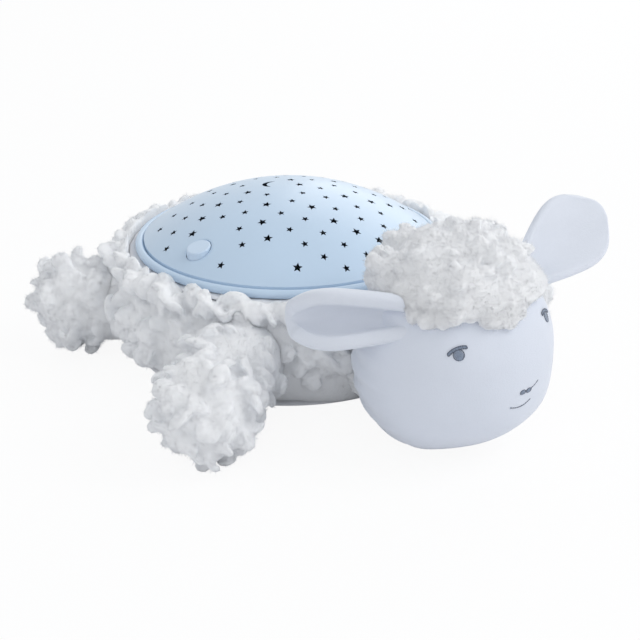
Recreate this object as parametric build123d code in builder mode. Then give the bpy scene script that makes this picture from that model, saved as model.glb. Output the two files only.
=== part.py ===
"""Night light projector: a plush lamb lying on its belly, with a star dome on its back.

Millimetres, +Z up. The lamb faces -Y and its left side is +X. The origin lies on the floor, under the
middle of the dome. Heights build up from the floor: belly, housing floor, cells, boards, deck, dome rim.
"""
import math
import os

from build123d import *

# Fits, shared by all pieces
seat_gap = 0.2  # between rigid pieces that seat on each other
slide_gap = 0.3  # round the button and the hinge pins
seam_gap = 0.3  # between stuffed pieces where they are sewn together
overrun = 4.0  # how far a cut runs past the faces it goes through

# Star dome
rim_radius = 75.0
bead_radius = 2.1
dome_edge_height = 4.8  # where the curve of the dome ends, above the rim's underside
dome_rise = 28.7  # crown above the rim's underside
dome_wall = 1.4
skirt_wall = 1.6
skirt_depth = 5.5
flange_overhang = 6.6  # rim past the inside of the housing
dome_boss_radius = 4.0
dome_boss_inset = 12.4  # boss axis from the inside of the housing
dome_boss_count = 4

# Stars and moon cut through the dome
star_spacing = 11.2
star_radii = (2.5, 2.0, 1.6)
star_points = 5
star_waist_share = 0.45  # inner corner of a star, as a share of its tip radius
star_margin = 1.6  # least plastic left beside a star
moon_radius = 4.6
moon_thickness = 1.6
moon_back = 9.0  # behind the crown
moon_side = 4.0  # to the lamb's right of the crown

# Push button
button_radius = 5.6
button_inset = 8.9  # button axis from the inside of the housing
button_bearing = 77.0  # degrees from straight ahead, towards the lamb's right
button_proud = 1.6  # top above the dome at the button's axis
button_tilt = 17.0  # degrees that its top slopes with the dome
button_edge = 0.8
button_flange_lip = 1.0
button_flange_thickness = 1.6
button_stem_radius = 2.6
sleeve_wall = 1.6
sleeve_depth = 10.7  # below the button's top
dish_radius = 8.5  # finger dish round the button
dish_depth = 0.9
pad_radius = 4.6
pad_height = 4.2
pad_top_radius = 3.0
pad_wall = 0.8

# Housing under the dome
hem_thickness = 1.5
tub_wall = 2.0
tub_floor = 2.8
tub_taper = 8.4  # how much narrower the housing is at its floor
tub_flange_width = 3.6
tub_flange_thickness = 2.0
tower_radius = 5.0
tower_cap = 2.5
spigot_radius = 3.2
spigot_height = 5.3

# Cells, battery bay and door
cell_diameter = 14.2
cell_length = 49.2
cell_nub_length = 1.0
cell_nub_radius = 2.7
cell_count = 3
cell_gap = 0.4  # round each cell
contact_room = 3.9  # at each end of the cells
contact_thickness = 0.4
contact_width = 8.0
contact_height = 9.0
bay_wall = 4.0
bay_roof = 2.0
door_ledge = 2.3
hinge_pin_radius = 0.8
hinge_pin_length = 1.4
tongue_width = 14.0
tongue_length = 9.0
door_screw_radius = 1.2
door_screw_head_radius = 2.4
door_screw_head = 1.2
door_screw_reach = 3.4  # above the door
door_screw_play = 0.4

# Boards, deck and lamps
board_width = 44.0
board_length = 58.0
board_thickness = 1.6
board_standoff = 4.0
standoff_radius = 2.4
board_hole_inset = 4.0
screw_radius = 1.2
screw_head_radius = 2.3
screw_head_height = 1.5
screw_play = 0.2
housing_screw_head_radius = 2.8
housing_screw_head_height = 2.0
housing_screw_grip = 8.0  # in the dome's boss
chip_size = 10.0
chip_height = 1.8
capacitor_radius = 3.2
capacitor_height = 7.5
socket_width = 8.0
socket_depth = 5.0
socket_height = 5.0
part_headroom = 10.0  # from the main board up to the deck
deck_thickness = 2.0
lamp_drop = 13.0  # deck top below the rim
lamp_board_radius = 11.0
lamp_board_thickness = 1.2
pedestal_height = 2.0
led_radius = 2.5
led_height = 6.0
led_foot_radius = 2.9
led_foot_height = 1.0
led_ring_radius = 4.2
switch_board_width = 9.0
switch_board_length = 26.0
lead_radius = 0.5
lead_hole_play = 0.5
lead_bend = 3.0
lead_drop = 1.4  # wires below the deck

# Plush body and feet
belly_thickness = 1.6
belly_overlap = 2.5  # belly panel in under the housing
belly_spread = 1.0  # belly panel past the dome's rim
body_swell = 16.0  # body past the dome's rim at its widest
body_shoulder = 3.0  # body past the dome's rim at its top
body_widest_height = 27.0
leg_radius = 20.0  # where a leg leaves the body
leg_sink = 15.0  # start of a leg inside the body
front_foot_radius = 26.0
rear_foot_radius = 24.5
front_right_reach = 40.0  # foot centre past the body's widest line
front_left_reach = 15.0
rear_reach = 13.0
front_bearing = 48.0  # degrees from straight ahead
rear_bearing = 119.0

# Tufts of wool on the feet and the head
tuft_radius = 9.0
tuft_rise = 5.5  # tufts proud of the core that they grow on
tuft_spacing = 21.0
tuft_back_share = 0.2  # of a pom-pom's radius, tufted behind its middle

# Head
head_reach = 37.0  # head axis past the body's widest line
head_radius = 42.5
head_seat_radius = 14.0
head_widest_height = 47.0  # where the cheeks turn in to the crown
jowl_curve = 39.0  # from the cheeks down to the seat
cap_thickness = 5.2
cap_edge_height = 72.5  # lower edge of the wool at the head's axis
cap_slope = 2.0  # degrees that the edge rises towards the face
cap_tilt = 3.0  # degrees that the edge rises towards the lamb's left

# Ears
ear_length = 50.0
ear_width = 34.0
ear_thickness = 5.0
ear_edge = 2.4
ear_cup = 6.0
ear_right_height = 68.0
ear_right_spread = 33.0  # ear root from the middle of the head
ear_right_ahead = 6.0  # ear root ahead of the head's axis
ear_left_height = 70.5
ear_left_spread = 34.0
ear_left_ahead = 5.0
ear_right_way = (-0.74, 0.67, -0.06)  # the way each ear points
ear_left_way = (0.88, 0.02, 0.47)
ear_right_face = (-0.55, -0.75, 0.35)  # the way each ear's cup faces
ear_left_face = (-0.5, -0.76, 0.45)
ear_along_shares = (0, 0.3, 0.6, 0.88, 1)  # sections along an ear
ear_width_shares = (0.4, 0.8, 1, 0.75, 0.3)
ear_cup_shares = (0, 0.7, 1, 0.7, 0.3)

# Embroidered face
thread = 0.6
face_turn = 3.0  # degrees to the lamb's left
face_tilt = 6.0  # degrees, left side up
eye_spread = 23.5  # eye from the middle of the face
eye_rise = 16.0  # eye above the head's widest line
iris_radius = 2.5
lid_width = 9.0
lid_thickness = 1.7
lid_sag = 2.2
nose_side = 1.3  # nose from the middle of the face
nose_width = 8.6
nose_height = 4.4
nose_drop = 8.2
mouth_side = 0.2
mouth_width = 11.0
mouth_thickness = 1.2
mouth_sag = 1.8
mouth_drop = 14.0

# Heights, from the floor up
tub_base = belly_thickness + seat_gap
floor_top = tub_base + tub_floor
cell_height = floor_top + cell_gap + cell_diameter / 2
bay_ceiling = cell_height + cell_diameter / 2 + cell_gap
bay_top = bay_ceiling + bay_roof
board_base = bay_top + board_standoff
board_top = board_base + board_thickness
deck_base = board_top + part_headroom
deck_top = deck_base + deck_thickness
rim_height = deck_top + lamp_drop
hem_base = rim_height - hem_thickness
collar_base = hem_base - tub_flange_thickness - skirt_depth
crown_height = rim_height + dome_rise

# Radii and places that follow from the rim
housing_radius = rim_radius - flange_overhang
skirt_radius = housing_radius - seat_gap
cap_radius = rim_radius - 2 * bead_radius
cap_chord = dome_rise - dome_edge_height
dome_radius = (cap_radius**2 + cap_chord**2) / (2 * cap_chord)
dome_centre = crown_height - dome_radius
boss_reach = housing_radius - dome_boss_inset
boss_base = deck_top + spigot_height + seat_gap
body_radius = rim_radius + body_swell
belly_radius = rim_radius + belly_spread
head_y = -(body_radius + head_reach)


golden_turn = 180 * (3 - math.sqrt(5))


def tuft_ways(outside):
    """Directions of the tufts over a ball of the given radius, on a sunflower spiral from its pole."""
    count = round(4 * math.pi * (outside / tuft_spacing) ** 2)
    ways = []
    for n in range(count):
        rise = 1 - (2 * n + 1) / count
        flat = math.sqrt(1 - rise**2)
        turn = math.radians(n * golden_turn)
        ways.append(Vector(flat * math.cos(turn), flat * math.sin(turn), rise))
    return ways


def ring_height(reach, radius):
    """Height of the dome's sphere of the given radius, at a distance from the dome's axis."""
    return dome_centre + math.sqrt(radius**2 - reach**2)


def bearing_point(reach, bearing, side):
    """Point on the floor plan at a bearing from straight ahead; side is 1 for its left, -1 for its right."""
    angle = math.radians(bearing)
    return side * reach * math.sin(angle), -reach * math.cos(angle)


def housing_inside(height):
    """Inner radius of the housing at a height, over its tapered wall."""
    share = min(1.0, (height - floor_top) / (collar_base - floor_top))
    return housing_radius - tub_taper * (1 - share)


def save(block, name):
    """Labels a finished piece and writes it to its own file."""
    block.part.label = name
    export_step(block.part, f"parts/{name}.step")


os.makedirs("parts", exist_ok=True)

button_reach = housing_radius - button_inset
button_x, button_y = bearing_point(button_reach, button_bearing, -1)
button_frame = Plane(origin=(button_x, button_y, 0), x_dir=(button_x, button_y, 0), z_dir=(0, 0, 1))
button_top = ring_height(button_reach, dome_radius) + button_proud
sleeve_base = button_top - sleeve_depth
sleeve_bore = button_radius + slide_gap
sleeve_radius = sleeve_bore + sleeve_wall
boss_angle = 360 / dome_boss_count / 2
boss_places = [
    (boss_reach * math.cos(math.radians(a)), boss_reach * math.sin(math.radians(a)))
    for a in (boss_angle + n * 360 / dome_boss_count for n in range(dome_boss_count))
]


def star_outline(radius):
    """Corners of a star, tip first."""
    corners = []
    for n in range(2 * star_points):
        reach = radius if n % 2 == 0 else radius * star_waist_share
        angle = math.pi * n / star_points
        corners.append((reach * math.cos(angle), reach * math.sin(angle)))
    return corners


def star_places():
    """Star centres on a sunflower spiral, clear of rim, button, moon and bosses: x, y, turn, radius."""
    button_clear = (button_x, button_y, max(sleeve_radius, dish_radius))
    keep_clear = [button_clear, (-moon_side, moon_back, moon_radius)]
    keep_clear += [(x, y, dome_boss_radius) for x, y in boss_places]
    field = cap_radius - dome_wall - star_margin
    places = []
    for n in range(int(math.pi * (field / star_spacing) ** 2)):
        reach = star_spacing * math.sqrt((n + 1) / math.pi)
        turn = n * golden_turn
        x, y = reach * math.cos(math.radians(turn)), reach * math.sin(math.radians(turn))
        radius = star_radii[n * n % len(star_radii)]
        free = all(math.hypot(x - cx, y - cy) > r + radius + star_margin for cx, cy, r in keep_clear)
        if free and reach + radius < field:
            places.append((x, y, turn * star_points, radius))
    return places


# Inner fittings of the dome, trimmed to its curve before they join it
with BuildPart() as button_sleeve:
    with BuildSketch(button_frame.offset(sleeve_base)):
        Circle(sleeve_radius)
    extrude(amount=sleeve_depth + sleeve_radius)
    with Locations((0, 0, dome_centre)):
        Sphere(dome_radius - dome_wall / 2, mode=Mode.INTERSECT)

with BuildPart() as dome_bosses:
    with BuildSketch(Plane.XY.offset(boss_base)):
        with Locations(*boss_places):
            Circle(dome_boss_radius)
    extrude(amount=crown_height - boss_base)
    with Locations((0, 0, dome_centre)):
        Sphere(dome_radius - dome_wall / 2, mode=Mode.INTERSECT)

# Rim, skirt, screw bosses and button sleeve, with their bores
with BuildPart() as dome_fittings:
    bead_reach = rim_radius - bead_radius
    skirt_inside = skirt_radius - skirt_wall
    with BuildSketch(Plane.XZ):
        with BuildLine():
            Polyline(
                (skirt_inside, rim_height - skirt_depth),
                (skirt_radius, rim_height - skirt_depth),
                (skirt_radius, rim_height),
                (bead_reach, rim_height),
                (bead_reach, rim_height + bead_radius),
                (skirt_inside, rim_height + bead_radius),
                close=True,
            )
        make_face()
        with Locations((bead_reach, rim_height + bead_radius)):
            Circle(bead_radius)
    revolve(axis=Axis.Z)
    add(dome_bosses.part)
    add(button_sleeve.part)
    with BuildSketch(button_frame.offset(sleeve_base)):
        Circle(sleeve_bore)
    extrude(amount=sleeve_depth + sleeve_radius, mode=Mode.SUBTRACT)
    with BuildSketch(Plane.XY.offset(boss_base)):
        with Locations(*boss_places):
            Circle(screw_radius + screw_play)
    extrude(amount=housing_screw_grip + seat_gap, mode=Mode.SUBTRACT)

# Star dome: thin shell with the button's opening and dish, the stars and the moon, joined to its fittings
dish_ball = (dish_radius**2 + dish_depth**2) / (2 * dish_depth)
dome_middle = Vector(0, 0, dome_centre)
button_out = (Vector(button_x, button_y, ring_height(button_reach, dome_radius)) - dome_middle).normalized()
with BuildPart() as star_dome:
    inner_edge = cap_radius - dome_wall
    with BuildSketch(Plane.XZ):
        with BuildLine():
            outside = [(r, ring_height(r, dome_radius)) for r in (0, cap_radius / 2, cap_radius)]
            inside = [(r, ring_height(r, dome_radius - dome_wall)) for r in (inner_edge, inner_edge / 2, 0)]
            ThreePointArc(*outside)
            Polyline(outside[-1], (cap_radius, rim_height), (inner_edge, rim_height), inside[0])
            ThreePointArc(*inside)
            Line(inside[-1], outside[0])
        make_face()
    revolve(axis=Axis.Z)
    with BuildSketch(Plane.XY.offset(rim_height)):
        with Locations((button_x, button_y)):
            Circle(sleeve_bore)
        with Locations((-moon_side, moon_back)):
            Circle(moon_radius)
        with Locations((-moon_side + moon_thickness, moon_back - moon_thickness)):
            Circle(moon_radius, mode=Mode.SUBTRACT)
        stars = []
        for x, y, turn, radius in star_places():
            star = Polygon(*star_outline(radius), align=None, mode=Mode.PRIVATE)
            stars.append(Pos(x, y) * Rot(0, 0, turn) * star)
        add(stars)
    extrude(amount=dome_rise + overrun, mode=Mode.SUBTRACT)
    add(dome_fittings.part)
    with Locations(dome_middle + button_out * (dome_radius - dish_depth + dish_ball)):
        Sphere(dish_ball, mode=Mode.SUBTRACT)
save(star_dome, "star_dome")

# Push button with its sloped top, retaining flange and stem
pad_top = deck_top + pedestal_height + lamp_board_thickness + pad_height
with BuildPart() as mode_button:
    flange_top = sleeve_base - seat_gap
    flange_base = flange_top - button_flange_thickness
    slope = math.tan(math.radians(button_tilt))
    crest = button_top + button_radius * slope
    with BuildSketch(Plane.XZ):
        with BuildLine():
            Polyline(
                (0, pad_top + seat_gap),
                (button_stem_radius, pad_top + seat_gap),
                (button_stem_radius, flange_base),
                (button_radius + button_flange_lip, flange_base),
                (button_radius + button_flange_lip, flange_top),
                (button_radius, flange_top),
                (button_radius, crest),
                (0, crest),
                close=True,
            )
        make_face()
    revolve(axis=Axis.Z)
    outward = button_frame.x_dir * slope
    split(bisect_by=Plane(origin=(0, 0, button_top), z_dir=(outward.X, outward.Y, 1)), keep=Keep.BOTTOM)
    fillet(mode_button.faces().sort_by(Axis.Z)[-1].edges(), radius=button_edge)
mode_button.part.position = (button_x, button_y, 0)
save(mode_button, "mode_button")

# Rubber dome under the button
pad_base = pad_top - pad_height
with BuildPart() as button_pad:
    with BuildSketch(Plane.XZ):
        with BuildLine():
            Polyline(
                (0, pad_top),
                (pad_top_radius, pad_top),
                (pad_radius, pad_base),
                (pad_radius - pad_wall, pad_base),
                (pad_top_radius - pad_wall, pad_top - pad_wall),
                (0, pad_top - pad_wall),
                close=True,
            )
        make_face()
    revolve(axis=Axis.Z)
button_pad.part.position = (button_x, button_y, 0)
save(button_pad, "button_pad")

# Switch board under the pad, on two posts of the deck
switch_hole = switch_board_length / 2 - screw_head_radius
with BuildPart() as switch_board:
    with BuildSketch(button_frame.offset(pad_base - lamp_board_thickness)):
        Rectangle(switch_board_width, switch_board_length)
        with Locations((0, switch_hole), (0, -switch_hole)):
            Circle(screw_radius + screw_play, mode=Mode.SUBTRACT)
    extrude(amount=lamp_board_thickness)
save(switch_board, "switch_board")

with BuildPart() as switch_board_screws:
    with BuildSketch(button_frame.offset(pad_base)):
        with Locations((0, switch_hole), (0, -switch_hole)):
            Circle(screw_head_radius)
    extrude(amount=screw_head_height)
    with BuildSketch(button_frame.offset(pad_base)):
        with Locations((0, switch_hole), (0, -switch_hole)):
            Circle(screw_radius)
    extrude(amount=-(lamp_board_thickness + pedestal_height - seat_gap))
save(switch_board_screws, "switch_board_screws")

# Light deck: dark plate over the works, with the lamp pedestal in its middle and holes for the wires
lamp_hole = lamp_board_radius - screw_head_radius - seat_gap
lead_hole = lead_radius + lead_hole_play
lamp_lead_end = ((led_ring_radius + lamp_hole) / 2, (led_ring_radius + lamp_hole) / 2)
switch_lead_end = button_frame.from_local_coords((0, -(pad_radius + switch_hole - screw_head_radius) / 2, 0))
lead_ends = [lamp_lead_end, (switch_lead_end.X, switch_lead_end.Y)]
with BuildPart() as light_deck:
    with BuildSketch(Plane.XY.offset(deck_base)):
        Circle(housing_inside(deck_base) - seat_gap)
        with Locations(*boss_places):
            Circle(spigot_radius + seat_gap, mode=Mode.SUBTRACT)
    extrude(amount=deck_thickness)
    with BuildSketch(Plane.XY.offset(deck_top)):
        Circle(lamp_board_radius)
    extrude(amount=pedestal_height)
    with BuildSketch(button_frame.offset(deck_top)):
        with Locations((0, switch_hole), (0, -switch_hole)):
            Circle(screw_head_radius)
    extrude(amount=pedestal_height)
    with BuildSketch(Plane.XY.offset(deck_base - overrun)):
        with Locations((0, lamp_hole), (0, -lamp_hole)):
            Circle(screw_radius + screw_play)
    extrude(amount=deck_thickness + pedestal_height + 2 * overrun, mode=Mode.SUBTRACT)
    with BuildSketch(button_frame.offset(deck_base - overrun)):
        with Locations((0, switch_hole), (0, -switch_hole)):
            Circle(screw_radius + screw_play)
    extrude(amount=deck_thickness + pedestal_height + 2 * overrun, mode=Mode.SUBTRACT)
    with BuildSketch(Plane.XY.offset(deck_base - overrun)):
        with Locations(*lead_ends):
            Circle(lead_hole)
    extrude(amount=deck_thickness + pedestal_height + 2 * overrun, mode=Mode.SUBTRACT)
save(light_deck, "light_deck")

# Lamp board with three lamps
lamp_board_base = deck_top + pedestal_height
lamp_board_top = lamp_board_base + lamp_board_thickness
with BuildPart() as led_board:
    with BuildSketch(Plane.XY.offset(lamp_board_base)):
        Circle(lamp_board_radius)
        with Locations((0, lamp_hole), (0, -lamp_hole)):
            Circle(screw_radius + screw_play, mode=Mode.SUBTRACT)
    extrude(amount=lamp_board_thickness)
save(led_board, "led_board")

with BuildPart() as led_board_screws:
    with BuildSketch(Plane.XY.offset(lamp_board_top)):
        with Locations((0, lamp_hole), (0, -lamp_hole)):
            Circle(screw_head_radius)
    extrude(amount=screw_head_height)
    with BuildSketch(Plane.XY.offset(lamp_board_top)):
        with Locations((0, lamp_hole), (0, -lamp_hole)):
            Circle(screw_radius)
    extrude(amount=-(lamp_board_thickness + pedestal_height - seat_gap))
save(led_board_screws, "led_board_screws")

lamp_names = ("led_red", "led_green", "led_blue")
for lamp, name in enumerate(lamp_names):
    angle = 2 * math.pi * lamp / len(lamp_names)
    with BuildPart() as led:
        with BuildSketch(Plane.XZ):
            with BuildLine():
                shoulder = lamp_board_top + led_height - led_radius
                middle = led_radius * math.sqrt(0.5)
                round_mid = (middle, shoulder + middle)
                Polyline(
                    (0, shoulder + led_radius),
                    (0, lamp_board_top),
                    (led_foot_radius, lamp_board_top),
                    (led_foot_radius, lamp_board_top + led_foot_height),
                    (led_radius, lamp_board_top + led_foot_height),
                    (led_radius, shoulder),
                )
                ThreePointArc((led_radius, shoulder), round_mid, (0, shoulder + led_radius))
            make_face()
        revolve(axis=Axis.Z)
    led.part.position = (led_ring_radius * math.cos(angle), led_ring_radius * math.sin(angle), 0)
    save(led, name)

# Battery bay sizes, shared by the housing, its door and its contacts
cell_pitch = cell_diameter + 2 * cell_gap
bay_width = cell_count * cell_pitch
bay_length = cell_length + 2 * contact_room
recess_width = bay_width + 2 * door_ledge
recess_length = bay_length + 2 * door_ledge
block_width = bay_width + 2 * bay_wall + 2 * hinge_pin_length
block_length = bay_length + 2 * bay_wall
door_thickness = tub_floor - slide_gap
hinge_y = recess_length / 2 - slide_gap - door_thickness / 2
hinge_z = tub_base + door_thickness / 2
screw_y = -(recess_length + tongue_length) / 2
boss_block = tongue_width + 2 * bay_wall
battery_leads_y = bay_length / 2 - seat_gap - lead_radius
battery_lead_places = [(side * (cell_count - 1) / 2 * cell_pitch, battery_leads_y) for side in (-1, 1)]
board_holes = [
    (sx * (board_width / 2 - board_hole_inset), sy * (board_length / 2 - board_hole_inset))
    for sx in (-1, 1)
    for sy in (-1, 1)
]

# Housing: tapered bowl with a rim flange, screw towers and the battery bay
with BuildPart() as housing_tub:
    wall_outside = housing_radius + tub_wall
    base_outside = wall_outside - tub_taper
    with BuildSketch(Plane.XZ):
        with BuildLine():
            Polyline(
                (0, tub_base),
                (base_outside, tub_base),
                (wall_outside, collar_base),
                (wall_outside, hem_base - tub_flange_thickness),
                (wall_outside + tub_flange_width, hem_base - tub_flange_thickness),
                (wall_outside + tub_flange_width, hem_base),
                (housing_radius, hem_base),
                (housing_radius, collar_base),
                (housing_radius - tub_taper, floor_top),
                (0, floor_top),
                close=True,
            )
        make_face()
    revolve(axis=Axis.Z)
    with BuildSketch(Plane.XY.offset(tub_base)):
        with Locations(*boss_places):
            Circle(tower_radius)
    extrude(amount=deck_base - tub_base)
    with BuildSketch(Plane.XY.offset(deck_base)):
        with Locations(*boss_places):
            Circle(spigot_radius)
    extrude(amount=deck_thickness + spigot_height)
    with BuildSketch(Plane.XY.offset(tub_base)):
        Rectangle(block_width, block_length)
    extrude(amount=bay_top - tub_base)
    with BuildSketch(Plane.XY.offset(tub_base)):
        with Locations((0, screw_y)):
            Rectangle(boss_block, tongue_length + 2 * bay_wall)
    extrude(amount=tub_floor + door_screw_reach + bay_roof)
    with BuildSketch(Plane.XY.offset(bay_top)):
        with Locations(*board_holes):
            Circle(standoff_radius)
    extrude(amount=board_standoff)
    with BuildSketch(Plane.XY.offset(floor_top)):
        Rectangle(bay_width, bay_length)
    extrude(amount=bay_ceiling - floor_top, mode=Mode.SUBTRACT)
    with BuildSketch(Plane.XY.offset(tub_base - overrun)):
        Rectangle(recess_width, recess_length)
        with Locations((0, screw_y)):
            Rectangle(tongue_width, tongue_length)
    extrude(amount=overrun + tub_floor, mode=Mode.SUBTRACT)
    with BuildSketch(Plane.YZ.offset(-(recess_width / 2 + hinge_pin_length))):
        with Locations((hinge_y, hinge_z)):
            Circle(hinge_pin_radius + slide_gap)
    extrude(amount=recess_width + 2 * hinge_pin_length, mode=Mode.SUBTRACT)
    with BuildSketch(Plane.XY.offset(floor_top)):
        with Locations((0, screw_y)):
            Circle(door_screw_radius + door_screw_play)
    extrude(amount=door_screw_reach + seat_gap, mode=Mode.SUBTRACT)
    with BuildSketch(Plane.XY.offset(tub_base - overrun)):
        with Locations(*boss_places):
            Circle(housing_screw_head_radius + screw_play)
    extrude(amount=overrun + deck_base - tub_base - tower_cap, mode=Mode.SUBTRACT)
    with BuildSketch(Plane.XY.offset(tub_base - overrun)):
        with Locations(*boss_places):
            Circle(screw_radius + screw_play)
    extrude(amount=boss_base - tub_base + 2 * overrun, mode=Mode.SUBTRACT)
    with BuildSketch(Plane.XY.offset(board_base)):
        with Locations(*board_holes):
            Circle(screw_radius + screw_play)
    extrude(amount=-board_standoff, mode=Mode.SUBTRACT)
    with BuildSketch(Plane.XY.offset(bay_ceiling)):
        with Locations(*battery_lead_places):
            Circle(lead_hole)
    extrude(amount=bay_roof, mode=Mode.SUBTRACT)
save(housing_tub, "housing_tub")

# Screws that hold the dome on the housing, from below
with BuildPart() as housing_screws:
    head_top = deck_base - tower_cap
    with BuildSketch(Plane.XY.offset(head_top - housing_screw_head_height)):
        with Locations(*boss_places):
            Circle(housing_screw_head_radius)
    extrude(amount=housing_screw_head_height)
    with BuildSketch(Plane.XY.offset(head_top)):
        with Locations(*boss_places):
            Circle(screw_radius)
    extrude(amount=boss_base + housing_screw_grip - head_top)
save(housing_screws, "housing_screws")

# Battery door: plate with a rounded hinge edge, two pins and a screwed tongue
with BuildPart() as battery_door:
    door_width = recess_width - 2 * slide_gap
    door_front = -(recess_length / 2 - slide_gap)
    door_top = tub_base + door_thickness
    with BuildSketch(Plane.YZ.offset(-door_width / 2)):
        with BuildLine():
            Polyline((hinge_y, tub_base), (door_front, tub_base), (door_front, door_top), (hinge_y, door_top))
            ThreePointArc((hinge_y, door_top), (hinge_y + door_thickness / 2, hinge_z), (hinge_y, tub_base))
        make_face()
    extrude(amount=door_width)
    with BuildSketch(Plane.YZ.offset(-(door_width / 2 + hinge_pin_length))):
        with Locations((hinge_y, hinge_z)):
            Circle(hinge_pin_radius)
    extrude(amount=door_width + 2 * hinge_pin_length)
    with BuildSketch(Plane.XY.offset(tub_base)):
        with Locations((0, screw_y + slide_gap)):
            Rectangle(tongue_width - 2 * slide_gap, tongue_length)
    extrude(amount=door_thickness)
    with BuildSketch(Plane.XY.offset(tub_base - overrun)):
        with Locations((0, screw_y)):
            Circle(door_screw_radius + screw_play)
    extrude(amount=door_thickness + 2 * overrun, mode=Mode.SUBTRACT)
    with BuildSketch(Plane.XY.offset(tub_base)):
        with Locations((0, screw_y)):
            Circle(door_screw_head_radius + screw_play)
    extrude(amount=door_screw_head, mode=Mode.SUBTRACT)
save(battery_door, "battery_door")

with BuildPart() as door_screw:
    with BuildSketch(Plane.XY.offset(tub_base)):
        with Locations((0, screw_y)):
            Circle(door_screw_head_radius)
    extrude(amount=door_screw_head)
    with BuildSketch(Plane.XY.offset(tub_base + door_screw_head)):
        with Locations((0, screw_y)):
            Circle(door_screw_radius)
    extrude(amount=tub_floor - door_screw_head + door_screw_reach)
save(door_screw, "door_screw")

# Cells, lying side by side, every second one turned round
with BuildPart() as battery_cells:
    for n in range(cell_count):
        cell_x = (n - (cell_count - 1) / 2) * cell_pitch
        way = 1 if n % 2 == 0 else -1
        with BuildSketch(Plane.XZ):
            with Locations((cell_x, cell_height)):
                Circle(cell_diameter / 2)
        extrude(amount=cell_length / 2, both=True)
        with BuildSketch(Plane.XZ.offset(way * cell_length / 2)):
            with Locations((cell_x, cell_height)):
                Circle(cell_nub_radius)
        extrude(amount=way * cell_nub_length)
save(battery_cells, "battery_cells")


# Contacts: a plate on the bay's end wall, with a sprung bow against each end of a cell
def contact_outline(side_x, end, nub):
    """Side outline of one contact, on its plane at side_x; end is 1 at the bay's rear, -1 at its front."""
    wall = end * bay_length / 2
    face = wall - end * contact_thickness
    crest = end * (cell_length / 2 + nub + seat_gap)
    low, high = cell_height - contact_height / 2, cell_height + contact_height / 2
    with BuildSketch(Plane.YZ.offset(side_x), mode=Mode.PRIVATE) as outline:
        with BuildLine():
            Polyline((face, high), (wall, high), (wall, low), (face, low))
            ThreePointArc((face, low), (crest, cell_height), (face, high))
        make_face()
    return outline.sketch


for end, name in ((-1, "contacts_front"), (1, "contacts_rear")):
    with BuildPart() as contacts:
        for n in range(cell_count):
            cell_x = (n - (cell_count - 1) / 2) * cell_pitch
            nub = cell_nub_length if (n % 2 == 0) == (end == -1) else 0
            add(contact_outline(cell_x - contact_width / 2, end, nub))
            extrude(amount=contact_width, dir=(1, 0, 0))
    save(contacts, name)

# Main board over the battery bay, with its parts and screws
socket_places = [(board_width / 4, board_length / 4), (-board_width / 4, board_length / 4)]
with BuildPart() as main_board:
    with BuildSketch(Plane.XY.offset(board_base)):
        Rectangle(board_width, board_length)
        with Locations(*board_holes):
            Circle(screw_radius + screw_play, mode=Mode.SUBTRACT)
    extrude(amount=board_thickness)
save(main_board, "main_board")

with BuildPart() as board_components:
    with BuildSketch(Plane.XY.offset(board_top)):
        Rectangle(chip_size, chip_size)
    extrude(amount=chip_height)
    with BuildSketch(Plane.XY.offset(board_top)):
        with Locations((board_width / 4, -board_length / 4), (-board_width / 4, -board_length / 4)):
            Circle(capacitor_radius)
    extrude(amount=capacitor_height)
    with BuildSketch(Plane.XY.offset(board_top)):
        with Locations(*socket_places):
            Rectangle(socket_width, socket_depth)
    extrude(amount=socket_height)
save(board_components, "board_components")

with BuildPart() as board_screws:
    with BuildSketch(Plane.XY.offset(board_top)):
        with Locations(*board_holes):
            Circle(screw_head_radius)
    extrude(amount=screw_head_height)
    with BuildSketch(Plane.XY.offset(board_top)):
        with Locations(*board_holes):
            Circle(screw_radius)
    extrude(amount=-(board_thickness + board_standoff - seat_gap))
save(board_screws, "board_screws")

# Fabric hem between dome and housing, and the flat belly panel
with BuildPart() as rim_hem:
    with BuildSketch(Plane.XY.offset(hem_base)):
        Circle(rim_radius + body_shoulder)
        Circle(housing_radius + seat_gap, mode=Mode.SUBTRACT)
    extrude(amount=hem_thickness)
save(rim_hem, "rim_hem")

with BuildPart() as belly_panel:
    with BuildSketch():
        Circle(belly_radius)
        Circle(base_outside - belly_overlap, mode=Mode.SUBTRACT)
    extrude(amount=belly_thickness)
save(belly_panel, "belly_panel")


def body_profile(gap):
    """Section of the stuffed ring, with its outside pushed out by a gap."""
    flange_outside = wall_outside + tub_flange_width + seam_gap
    under_flange = hem_base - tub_flange_thickness - seam_gap
    top = (rim_radius + body_shoulder + gap, hem_base)
    widest = (body_radius + gap, body_widest_height)
    foot = (belly_radius + gap, belly_thickness)
    with BuildSketch(Plane.XZ, mode=Mode.PRIVATE) as section:
        with BuildLine():
            ThreePointArc(top, widest, foot)
            Polyline(
                foot,
                (base_outside + seam_gap, belly_thickness),
                (wall_outside + seam_gap, collar_base),
                (wall_outside + seam_gap, under_flange),
                (flange_outside, under_flange),
                (flange_outside, hem_base),
                top,
            )
        make_face()
    return section.sketch


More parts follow.
